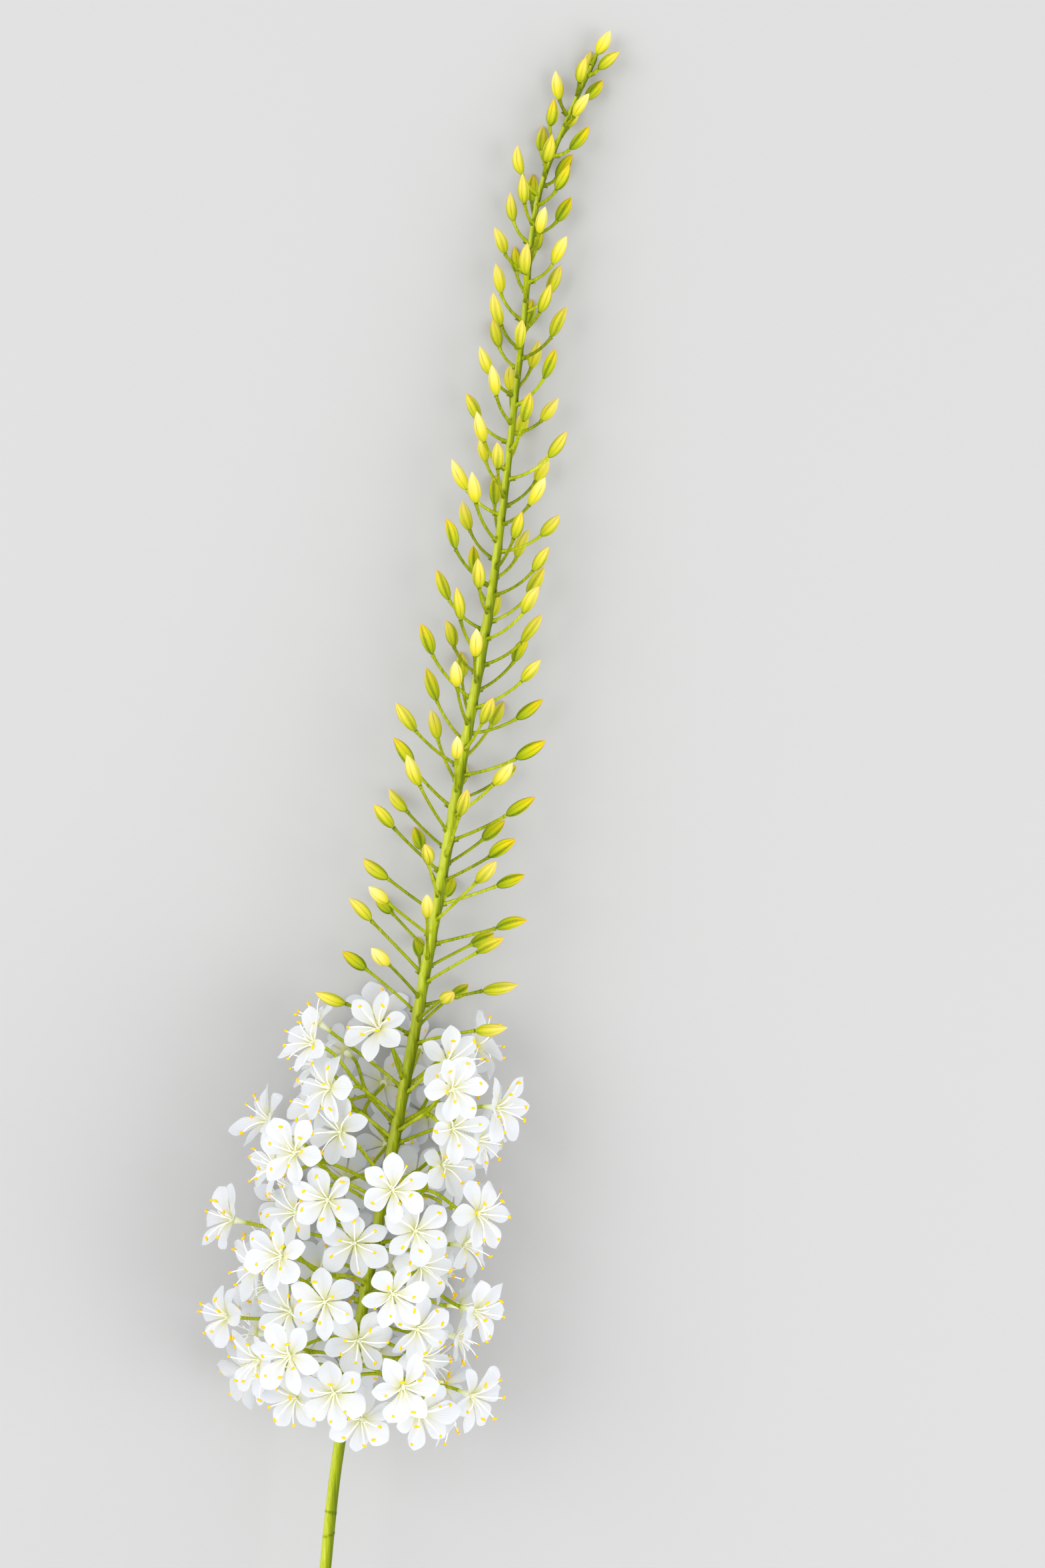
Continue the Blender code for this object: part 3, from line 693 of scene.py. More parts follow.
def add_node(tree, kind, inputs=None, stops=(), **settings):
    """A node with its settings. An input is a value, a socket, or a node for its first output.

    The stops of a colour ramp are pairs of a place and a hex colour.
    """
    made = tree.nodes.new(kind)
    for name, value in settings.items():
        setattr(made, name, value)
    for name, value in (inputs or {}).items():
        value = value.outputs[0] if isinstance(value, bpy.types.Node) else value
        if isinstance(value, bpy.types.NodeSocket):
            tree.links.new(value, made.inputs[name])
        else:
            made.inputs[name].default_value = value
    elements = made.color_ramp.elements if stops else ()
    while len(elements) < len(stops):
        elements.new(0.5)
    for element, (place, colour) in zip(elements, stops):
        element.position = place
        element.color = linear(colour)
    return made


def new_finish(name, *marks):
    """A material, its empty node tree, and the value of each mark that it reads."""
    made = bpy.data.materials.new(name)
    made.use_nodes = True
    tree = made.node_tree
    tree.nodes.clear()
    values = [add_node(tree, "ShaderNodeAttribute", attribute_name=mark).outputs["Fac"] for mark in marks]
    return made, tree, *values


def in_millimetres(tree, stretch=(1.0, 1.0, 1.0)):
    """Object coordinates in millimetres, squeezed along an axis by less than 1 to draw streaks."""
    coordinates = add_node(tree, "ShaderNodeTexCoord").outputs["Object"]
    scale = [MILLIMETRES_PER_METRE * value for value in stretch]
    return add_node(tree, "ShaderNodeMapping", {"Vector": coordinates, "Scale": scale})


def tissue(tree, pattern, relief, inputs):
    """A Principled shader with its inputs over a pattern's relief: how strongly it shows, how deep."""
    strength, depth = relief
    raised = add_node(tree, "ShaderNodeBump", {"Height": pattern, "Strength": strength, "Distance": depth})
    return add_node(tree, "ShaderNodeBsdfPrincipled", {**inputs, "Normal": raised})


def surfaced(finish, tree, shader):
    """The material, once its shader is linked to its surface."""
    add_node(tree, "ShaderNodeOutputMaterial", {"Surface": shader})
    return finish


print("patterns are measured in millimetres:", MILLIMETRES_PER_METRE, "to a metre")

# %% [markdown]
# ## Green skin of the stem and stalks
# The stem of a fresh flower spike is covered by a smooth waxy skin over green fibres. The fibres
# run lengthwise and show as streaks about half a millimetre wide, lighter and yellower where the
# skin is thin. They could be drawn one by one, but noise squeezed along the stem draws them all at
# that width. The wax gives a soft highlight, so the roughness is middling and the IOR is that of
# plant wax.

# %% Green skin
STREAK_WIDTH_MM = 0.6
STREAK_LENGTH_MM = 22.0
STREAK_SHARE = 0.55
STREAK_RELIEF = (0.5, 0.0003)
BLOTCH_MM = 9.0
BLOTCH_SQUEEZE = 0.4
BLOTCH_SHARE = 0.35
DEEPEST_GREEN = "#3e4e04"
WAX = {"Roughness": 0.5, "IOR": 1.45, "Specular IOR Level": 0.12}


def green_skin(name, pale, middle, dark):
    """Waxy green skin: streaks over slow blotches, and a soft highlight of the wax.

    Its shade is blotches x share + streaks x share + tone, so the mark tone darkens a stalk.
    """
    finish, tree, tone = new_finish(name, "tone")
    streaks = add_node(tree, "ShaderNodeTexNoise", {
        "Vector": in_millimetres(tree, (1 / STREAK_WIDTH_MM, 1 / STREAK_LENGTH_MM, 1 / STREAK_WIDTH_MM)),
        "Scale": 1.0, "Detail": 2.0, "Roughness": 0.6})
    blotches = add_node(tree, "ShaderNodeTexNoise", {
        "Vector": in_millimetres(tree, (1 / BLOTCH_MM, BLOTCH_SQUEEZE / BLOTCH_MM, 1 / BLOTCH_MM)),
        "Scale": 1.0, "Detail": 1.0})
    shade = add_node(tree, "ShaderNodeMath", {0: streaks, 1: STREAK_SHARE}, operation="MULTIPLY")
    shade = add_node(tree, "ShaderNodeMath", {0: blotches, 1: BLOTCH_SHARE, 2: shade},
                     operation="MULTIPLY_ADD")
    shade = add_node(tree, "ShaderNodeMath", {0: tone, 1: shade}, operation="ADD")
    colour = add_node(tree, "ShaderNodeValToRGB", {0: shade}, stops=(
        (0.26, pale), (0.45, middle), (0.68, dark), (0.95, DEEPEST_GREEN)))
    shader = tissue(tree, streaks, STREAK_RELIEF, {"Base Color": colour, **WAX})
    return surfaced(finish, tree, shader)


stem_skin = green_skin("waxy_green_stem_skin", "#b2bb42", "#929e08", "#637202")
stalk_skin = green_skin("waxy_green_stalk_skin", "#bec53e", "#99a506", "#677402")
print("made", stem_skin.name, "and", stalk_skin.name)

# %% [markdown]
# ## The stem
# A stem could be a curve with a bevel, but then it would be perfectly round and even. Here its
# radius is a formula: the taper, faint lengthwise ribs, a swelling under the root of each stalk, a
# ridge that runs down from it as its fibres join the stem, and thin rings where leaves once sat.

# %% Where stalks leave the stem


def stalk_roots():
    """The height and the direction out of the stem of every stalk's root, of buds and flowers."""
    roots = [points[0] for points, _ in bud_lines]
    for index, place in enumerate(places):
        if index in forked:
            roots.append(fork_of(index, place, places[index + FORK_STEP])[0])
        elif index - FORK_STEP not in forked:
            roots.append(flower_stalk(index, place)[0])
    aside = [(root - stem_point(root.y)[0]).normalized() for root in roots]
    return np.array([root.y for root in roots]), np.array(aside)


def at_roots(facing, sharpness, nearness):
    """How strongly a root marks each point of the stem: the most of facing^n x nearness."""
    return (facing ** sharpness * nearness[:, None]).max(axis=-1)


print("stalks that leave the stem:", len(stalk_roots()[0]))

# %% The stem
STEM_ROWS = 900
STEM_SIDES = 56
RIBS = 7
RIB_DEPTH = 0.015
RIB_WANDERS = 6.0
RIB_WANDERS_PER_METRE = 9.0
RIDGE_HEIGHT = 0.00030
RIDGE_LENGTH = 0.013
RIDGE_SHARPNESS = 12
RIDGE_FADES = (0.0014, -0.0004)
NOTCH_ABOVE = 0.0016
NOTCH_LENGTH = 0.0011
NOTCH_SHARPNESS = 5
ROOT_SWELLING = 0.00050
ROOT_SWELLING_ABOVE = 0.0006
ROOT_SWELLING_LENGTH = 0.0022
ROOT_SWELLING_SHARPNESS = 4
JOINT_RINGS = ((-0.061, 0.0003), (0.0144, 0.0010), (0.0244, -0.0003))
JOINT_HEIGHT = 0.00018
JOINT_LENGTH = 0.0005
STEM_TOP_RUNS_ON = 0.0012
STEM_TOP_NARROWS = (0.92, 0.7, 0.25)
# Painted light and shade: the stem's left side is made paler and its right side darker, as if lit from the
# left.
PAINTED_SIDE_LIGHT = 0.26
DARK_JOINT = 0.26
DARK_NOTCH = 0.30
PALE_RIDGE = 0.05
DARK_TOP = 0.06
DARK_TOP_OVER = (0.35, 0.6)


def smooth(low, high, value):
    """0 below low, 1 above high, and 3t^2 - 2t^3 between them."""
    t = np.clip((value - low) / (high - low), 0.0, 1.0)
    return t * t * (3 - 2 * t)


def bell(distance, width):
    """1 at no distance, falling off on both sides: e^(-(d / w)^2)."""
    return np.exp(-(distance / width) ** 2)


def stem_at(heights):
    """The stem's centres and directions at many heights, as two arrays."""
    return np.array([stem_point(up) for up in heights]).transpose(1, 0, 2)


def stem_block():
    """Rings round the stem's line: radius x (1 + ribs) + swellings + ridges + joint rings.

    At a root, below it by d and turned from it by a, the ridge is h cos(a)^n e^(-d / length).
    """
    ups = np.linspace(STEM_LINE[0][1], STEM_LINE[-1][1] + STEM_TOP_RUNS_ON, STEM_ROWS)
    path, _ = stem_at(ups)
    radii = np.interp(ups, *np.array(STEM_RADII).T)[:, None]
    angles = round_angles(STEM_SIDES)
    tangents = unit(np.gradient(path, axis=0))
    right = np.stack([tangents[:, 1], -tangents[:, 0], np.zeros(STEM_ROWS)], axis=-1)
    toward = np.array([0.0, 0.0, 1.0])
    ways = toward * np.sin(angles)[:, None] + right[:, None] * np.cos(angles)[:, None]
    wave = np.sin(RIBS * angles + RIB_WANDERS * np.sin(ups[:, None] * RIB_WANDERS_PER_METRE))
    heights, aside = stalk_roots()
    above = ups[:, None] - heights
    facing = np.clip(ways @ aside.T, 0.0, 1.0)
    near = bell(above - ROOT_SWELLING_ABOVE, ROOT_SWELLING_LENGTH)
    swelling = at_roots(facing, ROOT_SWELLING_SHARPNESS, near)
    runs_down = np.exp(np.minimum(above, 0.0) / RIDGE_LENGTH) * smooth(*RIDGE_FADES, above)
    ridge = at_roots(facing, RIDGE_SHARPNESS, runs_down)
    notch = at_roots(facing, NOTCH_SHARPNESS, bell(above - NOTCH_ABOVE, NOTCH_LENGTH))
    joints = sum(bell(ups[:, None] - joint - slant * np.cos(angles), JOINT_LENGTH)
                 for joint, slant in JOINT_RINGS)
    grown = ROOT_SWELLING * swelling + RIDGE_HEIGHT * ridge
    profile = radii * (1 + RIB_DEPTH * wave) + grown * radii / STEM_RADII[0][1] + JOINT_HEIGHT * joints
    profile[-len(STEM_TOP_NARROWS):] *= np.array(STEM_TOP_NARROWS)[:, None]
    points = path[:, None] + profile[..., None] * ways
    # Painted light and shade across the stem: paler on the left, darker on the right. The ridges below the
    # stalks are paler as well.
    painted_side_shade_and_pale_ridges = PAINTED_SIDE_LIGHT * np.sin(np.pi / 2 * np.cos(angles)) - PALE_RIDGE * ridge
    top = smooth(*DARK_TOP_OVER, ups)[:, None]
    darker = DARK_NOTCH * notch + DARK_JOINT * joints + painted_side_shade_and_pale_ridges + DARK_TOP * top
    return marked(points[None], stem_skin, along=np.linspace(0, 1, STEM_ROWS)[:, None], tone=darker)


stem_parts = [stem_block()]
print("rings along the stem:", STEM_ROWS)

# %% [markdown]
# ## Stalks
# Each stalk is a thin tapering tube that flares where it leaves the stem and again just under its
# bud or flower, and is darker near its root. Curve objects could hold them, but the marks for the
# materials need points, so rings are laid along lines. The line of a bud's stalk is a parabola
# through its root, middle and end. A flower's stalk leaves the stem slanting up and arrives along
# the flower's tube.

# %% Stalks
STALK_ROWS = 14
STALK_SIDES = 8
BUD_STALK_SKIN = 0.00068
FLOWER_STALK_SKIN = 0.00078
ROOT_FLARE = 0.9
BUD_FLARE = 0.45
FLOWER_FLARE = 0.15
KNEE_SWELLING = 0.35
FLARE_LENGTH = 0.0018
END_FLARE_LENGTH = 0.0009
SUNK_IN_TUBE = 0.0005
DARK_ROOT = 0.10
DARK_ROOT_LENGTH = 0.003
BUD_STALK_TONES = (-0.05, 0.16)
FLOWER_STALK_TONES = (-0.08, 0.06)


def along_length(paths):
    """The length run at each station of each path."""
    steps = np.linalg.norm(np.diff(paths, axis=1), axis=-1)
    return np.concatenate([np.zeros((len(paths), 1)), np.cumsum(steps, axis=1)], axis=1)


def stalk_block(paths, radius, root_flare, end_flare, tones):
    """Tubes whose radius is r (1 + flare e^(-run / length)), flaring at the root and at the end."""
    run = along_length(paths)
    left = run[:, -1:] - run
    flare = 1 + root_flare * np.exp(-run / FLARE_LENGTH) + end_flare * np.exp(-left / END_FLARE_LENGTH)
    points = rings_along(paths, (radius * flare)[..., None], STALK_SIDES)
    share = run / run[:, -1:]
    tone = tones[:, None, None] + DARK_ROOT * np.exp(-run / DARK_ROOT_LENGTH)[..., None]
    return marked(points, stalk_skin, along=share[..., None], tone=tone)


def parabolas(foot, control, tip, rows):
    """Points from foot to tip, drawn towards a control point: (1-t)^2 F + 2t(1-t) C + t^2 T."""
    t = np.linspace(0, 1, rows)[:, None]
    foot, control, tip = foot[..., None, :], control[..., None, :], tip[..., None, :]
    return (1 - t) ** 2 * foot + 2 * t * (1 - t) * control + t * t * tip


def bud_stalk_paths():
    """Parabolas through each stalk's root, middle and end: the control point is 2M - (R + E) / 2."""
    root, middle, end = np.array([points[:3] for points, _ in bud_lines]).transpose(1, 0, 2)
    return parabolas(root, 2 * middle - (root + end) / 2, end, STALK_ROWS)


bud_stalks = bud_stalk_paths()
own_stalks = np.array([
    flower_stalk(index, places[index], STALK_ROWS, -SUNK_IN_TUBE) for index in range(FLOWER_COUNT)
    if index not in forked and index - FORK_STEP not in forked])
forks = {index: fork_of(index, places[index], places[index + FORK_STEP]) for index in forked}
shared_stalks = np.array([
    stalk_curve(start, way, middle, aim, STALK_ROWS, FORK_AT)
    for start, way, middle, aim, _, _ in forks.values()])

shades = np.random.default_rng(61)
for paths, radius, end_flare, tones in (
        (bud_stalks, BUD_STALK_SKIN, BUD_FLARE, BUD_STALK_TONES),
        (own_stalks, FLOWER_STALK_SKIN, FLOWER_FLARE, FLOWER_STALK_TONES),
        (shared_stalks, FLOWER_STALK_SKIN, KNEE_SWELLING, FLOWER_STALK_TONES)):
    shade = shades.uniform(*tones, len(paths))
    stem_parts.append(stalk_block(paths, radius, ROOT_FLARE, end_flare, shade))
print("stalks:", len(bud_stalks), "of buds,", len(own_stalks), "of single flowers,",
      len(shared_stalks), "forked")

# %% [markdown]
# ## Bracts
# Under each stalk's root sits a bract, the small scale that once covered the bud. A real one is a
# little leaf, and could be modelled as finely as a petal, but there are a hundred and more of them
# and each is 3 mm long. So it is a flat pointed blade that hugs the stalk from below, darker than
# the stem.

# %% Bracts
BRACT_LENGTH = 0.0030
BRACT_HALF_WIDTH = 0.00085
BRACT_ROWS = 7
BRACT_ACROSS = 5
BRACT_THICKNESS = 0.00022
BRACT_HUGS = 0.0006
BRACT_END_DROPS = 0.0003
BRACT_SUNK = 0.7
BRACT_BELOW = 0.0004
BRACT_TONES = (0.30, 0.15)


def flat_ring(points_across):
    """A blade's cross-section: places across from 1 to -1 and back, and on which side each is."""
    front = np.linspace(1, -1, points_across)
    across = np.concatenate([front, -front[1:-1]])
    side = np.concatenate([1 - front ** 4, -(1 - front[1:-1] ** 4)])
    return across, side


def bract_block(paths):
    """Blades under the stalks: half width w sqrt(1 - 0.98 s^2) at share s, bent round the stalk."""
    start = paths[:, 0]
    way = unit(paths[:, 2] - start)
    centres, along = stem_at(start[:, 1])
    out = unit(start - centres)
    aside = unit(np.cross(along, out))
    below = unit(np.cross(aside, way))
    below = below * np.sign((below * along).sum(-1, keepdims=True))
    share = np.linspace(0, 1, BRACT_ROWS)[:, None]
    across, side = flat_ring(BRACT_ACROSS)
    wide = BRACT_HALF_WIDTH * np.sqrt(1 - 0.98 * share ** 2) * across
    lift = BRACT_HUGS * (1 - across ** 2) + BRACT_THICKNESS / 2 * side + BRACT_END_DROPS * share ** 2
    surface = np.interp(start[:, 1], *np.array(STEM_RADII).T)[:, None]
    foot = centres + out * surface * BRACT_SUNK - along * BRACT_BELOW
    foot, way, aside, below = [vectors[:, None, None] for vectors in (foot, way, aside, below)]
    points = foot + BRACT_LENGTH * share[..., None] * way + wide[..., None] * aside - lift[..., None] * below
    root_tone, paler = BRACT_TONES
    return marked(points, stalk_skin, along=share, tone=root_tone - paler * share)


stem_parts.append(bract_block(np.concatenate([bud_stalks, own_stalks, shared_stalks])))
stem = make_piece("stem_and_stalks", stem_parts, "stem_green", "stem_with_buds")
print("stem_and_stalks:", triangles(stem), "triangles")

# %% [markdown]
# ## Skin of the buds
# A bud is wrapped by three outer tepals. Each has a green keel along its middle that fades to
# yellow at its edges and towards its tip, and the youngest buds are green all over. Stripes could be
# drawn in object coordinates, but the marks along and across follow the tepals, so the keel stays on
# them however the bud is turned. The mark tone tells how ripe the bud is, and carries painted light
# as well: buds that point left are paler and yellower, those that point right darker and greener.
# The skin is smooth and slightly waxy.

# %% Skin of the buds
YOUNG_BUD = ((0.0, "#788e05"), (0.35, "#a2aa04"), (0.75, "#c8ba07"), (1.0, "#dcac10"))
RIPE_BUD = ((0.0, "#b2b81c"), (0.3, "#d0c42c"), (0.7, "#ddcf6a"), (1.0, "#e2d592"))
BUD_KEEL = ((0.0, "#46620a"), (0.5, "#587204"), (0.9, "#948c06"), (1.0, "#c09810"))
BUD_SEAM = "#6f6a0a"
BUD_GRAIN_PER_MM = 1.6
BUD_GRAIN_SHARE = 0.35
KEEL_EDGE = (0.22, 0.60)
KEEL_SHOWS = 0.95
KEEL_FADED_AT = 0.9
KEEL_FADES_TO = 0.10
SEAM_EDGE = (0.86, 0.97)
SEAM_SHOWS = 0.55
BUD_RELIEF = (0.25, 0.0002)


def bud_skin():
    """Waxy tepals: green keels with ragged edges on yellow, dark thin seams, and a soft highlight."""
    finish, tree, along, across, tone = new_finish("waxy_bud_skin", *MARKS)
    young, ripeness_and_painted_light, keel = [
        add_node(tree, "ShaderNodeValToRGB", {0: along}, stops=stops)
        for stops in (YOUNG_BUD, RIPE_BUD, BUD_KEEL)]
    edges = add_node(tree, "ShaderNodeMix", {0: tone, 6: young, 7: ripeness_and_painted_light}, data_type="RGBA")
    grain = add_node(tree, "ShaderNodeTexNoise", {
        "Vector": in_millimetres(tree), "Scale": BUD_GRAIN_PER_MM, "Detail": 2.0})
    reach = add_node(tree, "ShaderNodeMath", {0: grain, 1: BUD_GRAIN_SHARE, 2: across},
                     operation="MULTIPLY_ADD")
    on_keel = add_node(tree, "ShaderNodeMapRange", {
        "Value": reach, "From Min": KEEL_EDGE[0], "From Max": KEEL_EDGE[1],
        "To Min": KEEL_SHOWS, "To Max": 0.0})
    fades = add_node(tree, "ShaderNodeMapRange", {
        "Value": tone, "From Min": 0.0, "From Max": KEEL_FADED_AT,
        "To Min": 1.0, "To Max": KEEL_FADES_TO})
    in_seam = add_node(tree, "ShaderNodeMapRange", {
        "Value": across, "From Min": SEAM_EDGE[0], "From Max": SEAM_EDGE[1],
        "To Min": 0.0, "To Max": SEAM_SHOWS})
    share = add_node(tree, "ShaderNodeMath", {0: on_keel, 1: fades}, operation="MULTIPLY")
    keeled = add_node(tree, "ShaderNodeMix", {0: share, 6: edges.outputs[2], 7: keel}, data_type="RGBA")
    seamed = add_node(tree, "ShaderNodeMix", {0: in_seam, 6: keeled.outputs[2], 7: linear(BUD_SEAM)},
                      data_type="RGBA")
    shader = tissue(tree, grain, BUD_RELIEF, {"Base Color": seamed.outputs[2], **WAX})
    return surfaced(finish, tree, shader)


bud_finish = bud_skin()
print("made", bud_finish.name)

# %% [markdown]
# ## Buds
# A bud's outline is blunt at its foot, widest at two fifths and pointed at its tip. Three seams
# between the outer tepals are grooves that wind slightly round it, with a low keel between each
# two. It could be sculpted, but a radius that depends on height and angle gives the same with a
# formula, and no two buds alike.

# %% Buds
BUD_ROWS = 18
BUD_SIDES = 30
WIDEST_AT = 0.43
SEAMS = 3
SEAM_DEPTH = 0.13
SEAM_WIDTH = 0.16
KEEL_HEIGHT = 0.05
KEEL_WIDTH = 0.22
BUD_BOWS = 0.00035
BUD_TWISTS = 0.5
LEAST_OUTLINE = 0.02
LEAST_RADIUS = 0.00006
RIPENESS = (0.8, 0.9)
RIPER_BY = 0.08
RIPER_TO_VIEWER = 0.45
# Painted light: buds that point left are made paler and yellower, and those that point right darker and
# greener, as if lit from the left.
PAINTED_LIGHT_FROM_LEFT = 0.14
YOUNGER_LOW = 0.30


def bud_outline(share):
    """(1 - (1 - s / w)^2)^0.6 up to the widest place w, then (1 - x^2.2) to the tip."""
    low = (1 - np.clip(1 - share / WIDEST_AT, 0, 1) ** 2) ** 0.6
    high = 1 - np.clip((share - WIDEST_AT) / (1 - WIDEST_AT), 0, 1) ** 2.2
    return np.where(share < WIDEST_AT, low, high)


def bud_block():
    """Rings whose radius is outline(s) x (1 - seams + keels), seams at angle a + twist s."""
    draw = np.random.default_rng(62)
    feet = np.array([points[2] for points, _ in bud_lines])
    tips = np.array([points[5] for points, _ in bud_lines])
    bellies = np.array([radii[3] for _, radii in bud_lines])
    share = (1 - np.cos(np.pi * np.arange(BUD_ROWS) / (BUD_ROWS - 1))) / 2
    paths = feet[:, None] + (tips - feet)[:, None] * share[None, :, None]
    bow = np.sin(np.pi * share)[None, :, None] * draw.normal(0, BUD_BOWS, (BUD_COUNT, 1, 3))
    turn = draw.uniform(0, 2 * np.pi, (BUD_COUNT, 1, 1))
    twist = draw.uniform(-BUD_TWISTS, BUD_TWISTS, (BUD_COUNT, 1, 1))
    turned = (round_angles(BUD_SIDES) + turn + twist * share[:, None]) * SEAMS / (2 * np.pi)
    from_keel = np.abs(turned - np.round(turned)) * 2
    outline = np.maximum(bud_outline(share), LEAST_OUTLINE)[None, :, None]
    uneven = 1 - SEAM_DEPTH * bell(1 - from_keel, SEAM_WIDTH) + KEEL_HEIGHT * bell(from_keel, KEEL_WIDTH)
    radii = np.maximum(bellies[:, None, None] * outline * uneven, LEAST_RADIUS)
    points = rings_along(paths + bow, radii, BUD_SIDES)
    low = (BUD_COUNT - np.arange(BUD_COUNT)) / BUD_COUNT
    aims = unit(tips - feet)
    # Buds that point at the viewer are made riper. On top of that is painted light from the left: buds that
    # point left are paler, those that point right darker.
    riper_to_viewer_and_painted_left_light = RIPER_TO_VIEWER * np.clip(aims[:, 2], 0, 1) - PAINTED_LIGHT_FROM_LEFT * aims[:, 0]
    ripeness_and_painted_light = np.clip(draw.beta(*RIPENESS, BUD_COUNT) - YOUNGER_LOW * low + RIPER_BY + riper_to_viewer_and_painted_left_light, 0, 1)
    return marked(points, bud_finish, along=share[:, None], across=from_keel, tone=ripeness_and_painted_light[:, None, None])


buds = make_piece("buds", [bud_block()], "stem_green", "stem_with_buds")
print("buds:", triangles(buds), "triangles")

# %% [markdown]
# ## Tissue of the petals
# Petals are thin, white and slightly see-through, with a pale yellow-green throat and fine veins
# that run from the throat to the edge. Subsurface scattering would soften them too, but a
# Translucent shader beside the Principled one is quicker, and lets light from behind glow through.
# Veins are about 0.9 mm apart where a petal is widest, and low relief shows them more than colour
# does. The cells between them are drawn coarser than real ones, which are too fine to show.

# %% Tissue of the petals
PETAL_WARM = ((0.0, "#f6f5bc"), (0.13, "#f8f7d8"), (0.28, "#f9f9f4"), (0.5, "#f8f9fc"))
PETAL_COOL = ((0.0, "#f2f2b4"), (0.14, "#f4f4d2"), (0.30, "#f5f5f1"), (0.6, "#f2f4f9"))
PETAL_VEIN = "#c8ccd2"
PETAL_GLOW = 0.62
PETAL_CELLS_PER_MM = 2.2
PETAL_CELL_SHARE = 0.35
VEINS_PER_HALF_WIDTH = 5.5
VEIN_FROM = 0.55
VEIN_TINT = 0.24
VEIN_RELIEF = (0.5, 0.0002)


def petal_finish():
    """White petal tissue: light shines through it, its throat is pale green, and veins run along it.

    A vein shows where cos(2 pi n v) is near 1, with v across the petal from -1 to 1.
    """
    finish, tree, along, across, tone = new_finish("white_petal_tissue", *MARKS)
    warm, cool = [
        add_node(tree, "ShaderNodeValToRGB", {0: along}, stops=stops) for stops in (PETAL_WARM, PETAL_COOL)]
    white = add_node(tree, "ShaderNodeMix", {0: tone, 6: warm, 7: cool}, data_type="RGBA")
    fan = add_node(tree, "ShaderNodeMath", {0: across, 1: VEINS_PER_HALF_WIDTH * 2 * math.pi},
                   operation="MULTIPLY")
    wave = add_node(tree, "ShaderNodeMath", {0: fan}, operation="COSINE")
    vein = add_node(tree, "ShaderNodeMapRange", {
        "Value": wave, "From Min": VEIN_FROM, "From Max": 1.0, "To Min": 0.0, "To Max": 1.0})
    tint = add_node(tree, "ShaderNodeMath", {0: vein, 1: VEIN_TINT}, operation="MULTIPLY")
    veined = add_node(tree, "ShaderNodeMix", {0: tint, 6: white.outputs[2], 7: linear(PETAL_VEIN)},
                      data_type="RGBA")
    cells = add_node(tree, "ShaderNodeTexNoise", {
        "Vector": in_millimetres(tree), "Scale": PETAL_CELLS_PER_MM, "Detail": 2.0})
    relief = add_node(tree, "ShaderNodeMath", {0: cells, 1: PETAL_CELL_SHARE, 2: vein},
                      operation="MULTIPLY_ADD")
    shader = tissue(tree, relief, VEIN_RELIEF, {
        "Base Color": veined.outputs[2], "Roughness": 0.55, "IOR": 1.4, "Specular IOR Level": 0.3,
        "Sheen Weight": 0.1})
    glow = add_node(tree, "ShaderNodeBsdfTranslucent", {"Color": veined.outputs[2]})
    both = add_node(tree, "ShaderNodeMixShader", {0: PETAL_GLOW, 1: shader, 2: glow})
    return surfaced(finish, tree, both)


petal_white = petal_finish()
print("made", petal_white.name)

# %% [markdown]
# ## Tissue of the tube and the threads, and pollen
# The tube behind the petals is thicker than they are, so it lets no light through, and is green
# where it meets the stalk. Filaments and styles are smooth moist threads, and anthers are covered
# with dry orange pollen. One white would do for all but the pollen from afar, but close up the tube's
# green end and the threads' gloss tell them from the petals.

# %% Tissue of the tube and the threads, and pollen
TUBE_COLOURS = ((0.0, "#a4b530"), (0.22, "#ccd480"), (0.6, "#e9ecca"), (1.0, "#eef0d8"))
TUBE_STREAKS_PER_MM = 1.4
TUBE_RELIEF = (0.3, 0.00015)
FILAMENT_COLOURS = ((0.0, "#f3f4dc"), (0.3, "#fcfcf8"), (0.85, "#fcfbf4"), (1.0, "#f6ecc4"))
POLLEN_COLOURS = ((0.2, "#f8cf1e"), (0.5, "#f0bb06"), (1.0, "#c79406"))
POLLEN_MM = 0.18
POLLEN_SHARE = 0.5
POLLEN_RELIEF = (0.6, 0.0001)


def tube_finish():
    """Tissue of the tube and the ovary: green at the stalk, nearly white at the throat, faintly lined."""
    finish, tree, along = new_finish("pale_tube_tissue", "along")
    colour = add_node(tree, "ShaderNodeValToRGB", {0: along}, stops=TUBE_COLOURS)
    streaks = add_node(tree, "ShaderNodeTexNoise", {
        "Vector": in_millimetres(tree), "Scale": TUBE_STREAKS_PER_MM, "Detail": 2.0})
    shader = tissue(tree, streaks, TUBE_RELIEF, {
        "Base Color": colour, "Roughness": 0.5, "IOR": 1.4, "Specular IOR Level": 0.35})
    return surfaced(finish, tree, shader)


def filament_finish():
    """Smooth moist threads: white with a clear highlight, warmer where they meet the anther."""
    finish, tree, along = new_finish("white_filament_tissue", "along")
    colour = add_node(tree, "ShaderNodeValToRGB", {0: along}, stops=FILAMENT_COLOURS)
    shader = add_node(tree, "ShaderNodeBsdfPrincipled", {
        "Base Color": colour, "Roughness": 0.4, "IOR": 1.4, "Specular IOR Level": 0.4})
    return surfaced(finish, tree, shader)


def anther_finish():
    """Dry pollen: matt grains of yellow to brownish orange. They are coarser than real ones, to show."""
    finish, tree, tone = new_finish("orange_pollen", "tone")
    pollen = add_node(tree, "ShaderNodeTexNoise", {
        "Vector": in_millimetres(tree), "Scale": 1 / POLLEN_MM, "Detail": 1.0})
    shade = add_node(tree, "ShaderNodeMath", {0: pollen, 1: POLLEN_SHARE, 2: tone}, operation="MULTIPLY_ADD")
    colour = add_node(tree, "ShaderNodeValToRGB", {0: shade}, stops=POLLEN_COLOURS)
    shader = tissue(tree, pollen, POLLEN_RELIEF, {
        "Base Color": colour, "Roughness": 0.85, "Specular IOR Level": 0.2})
    return surfaced(finish, tree, shader)


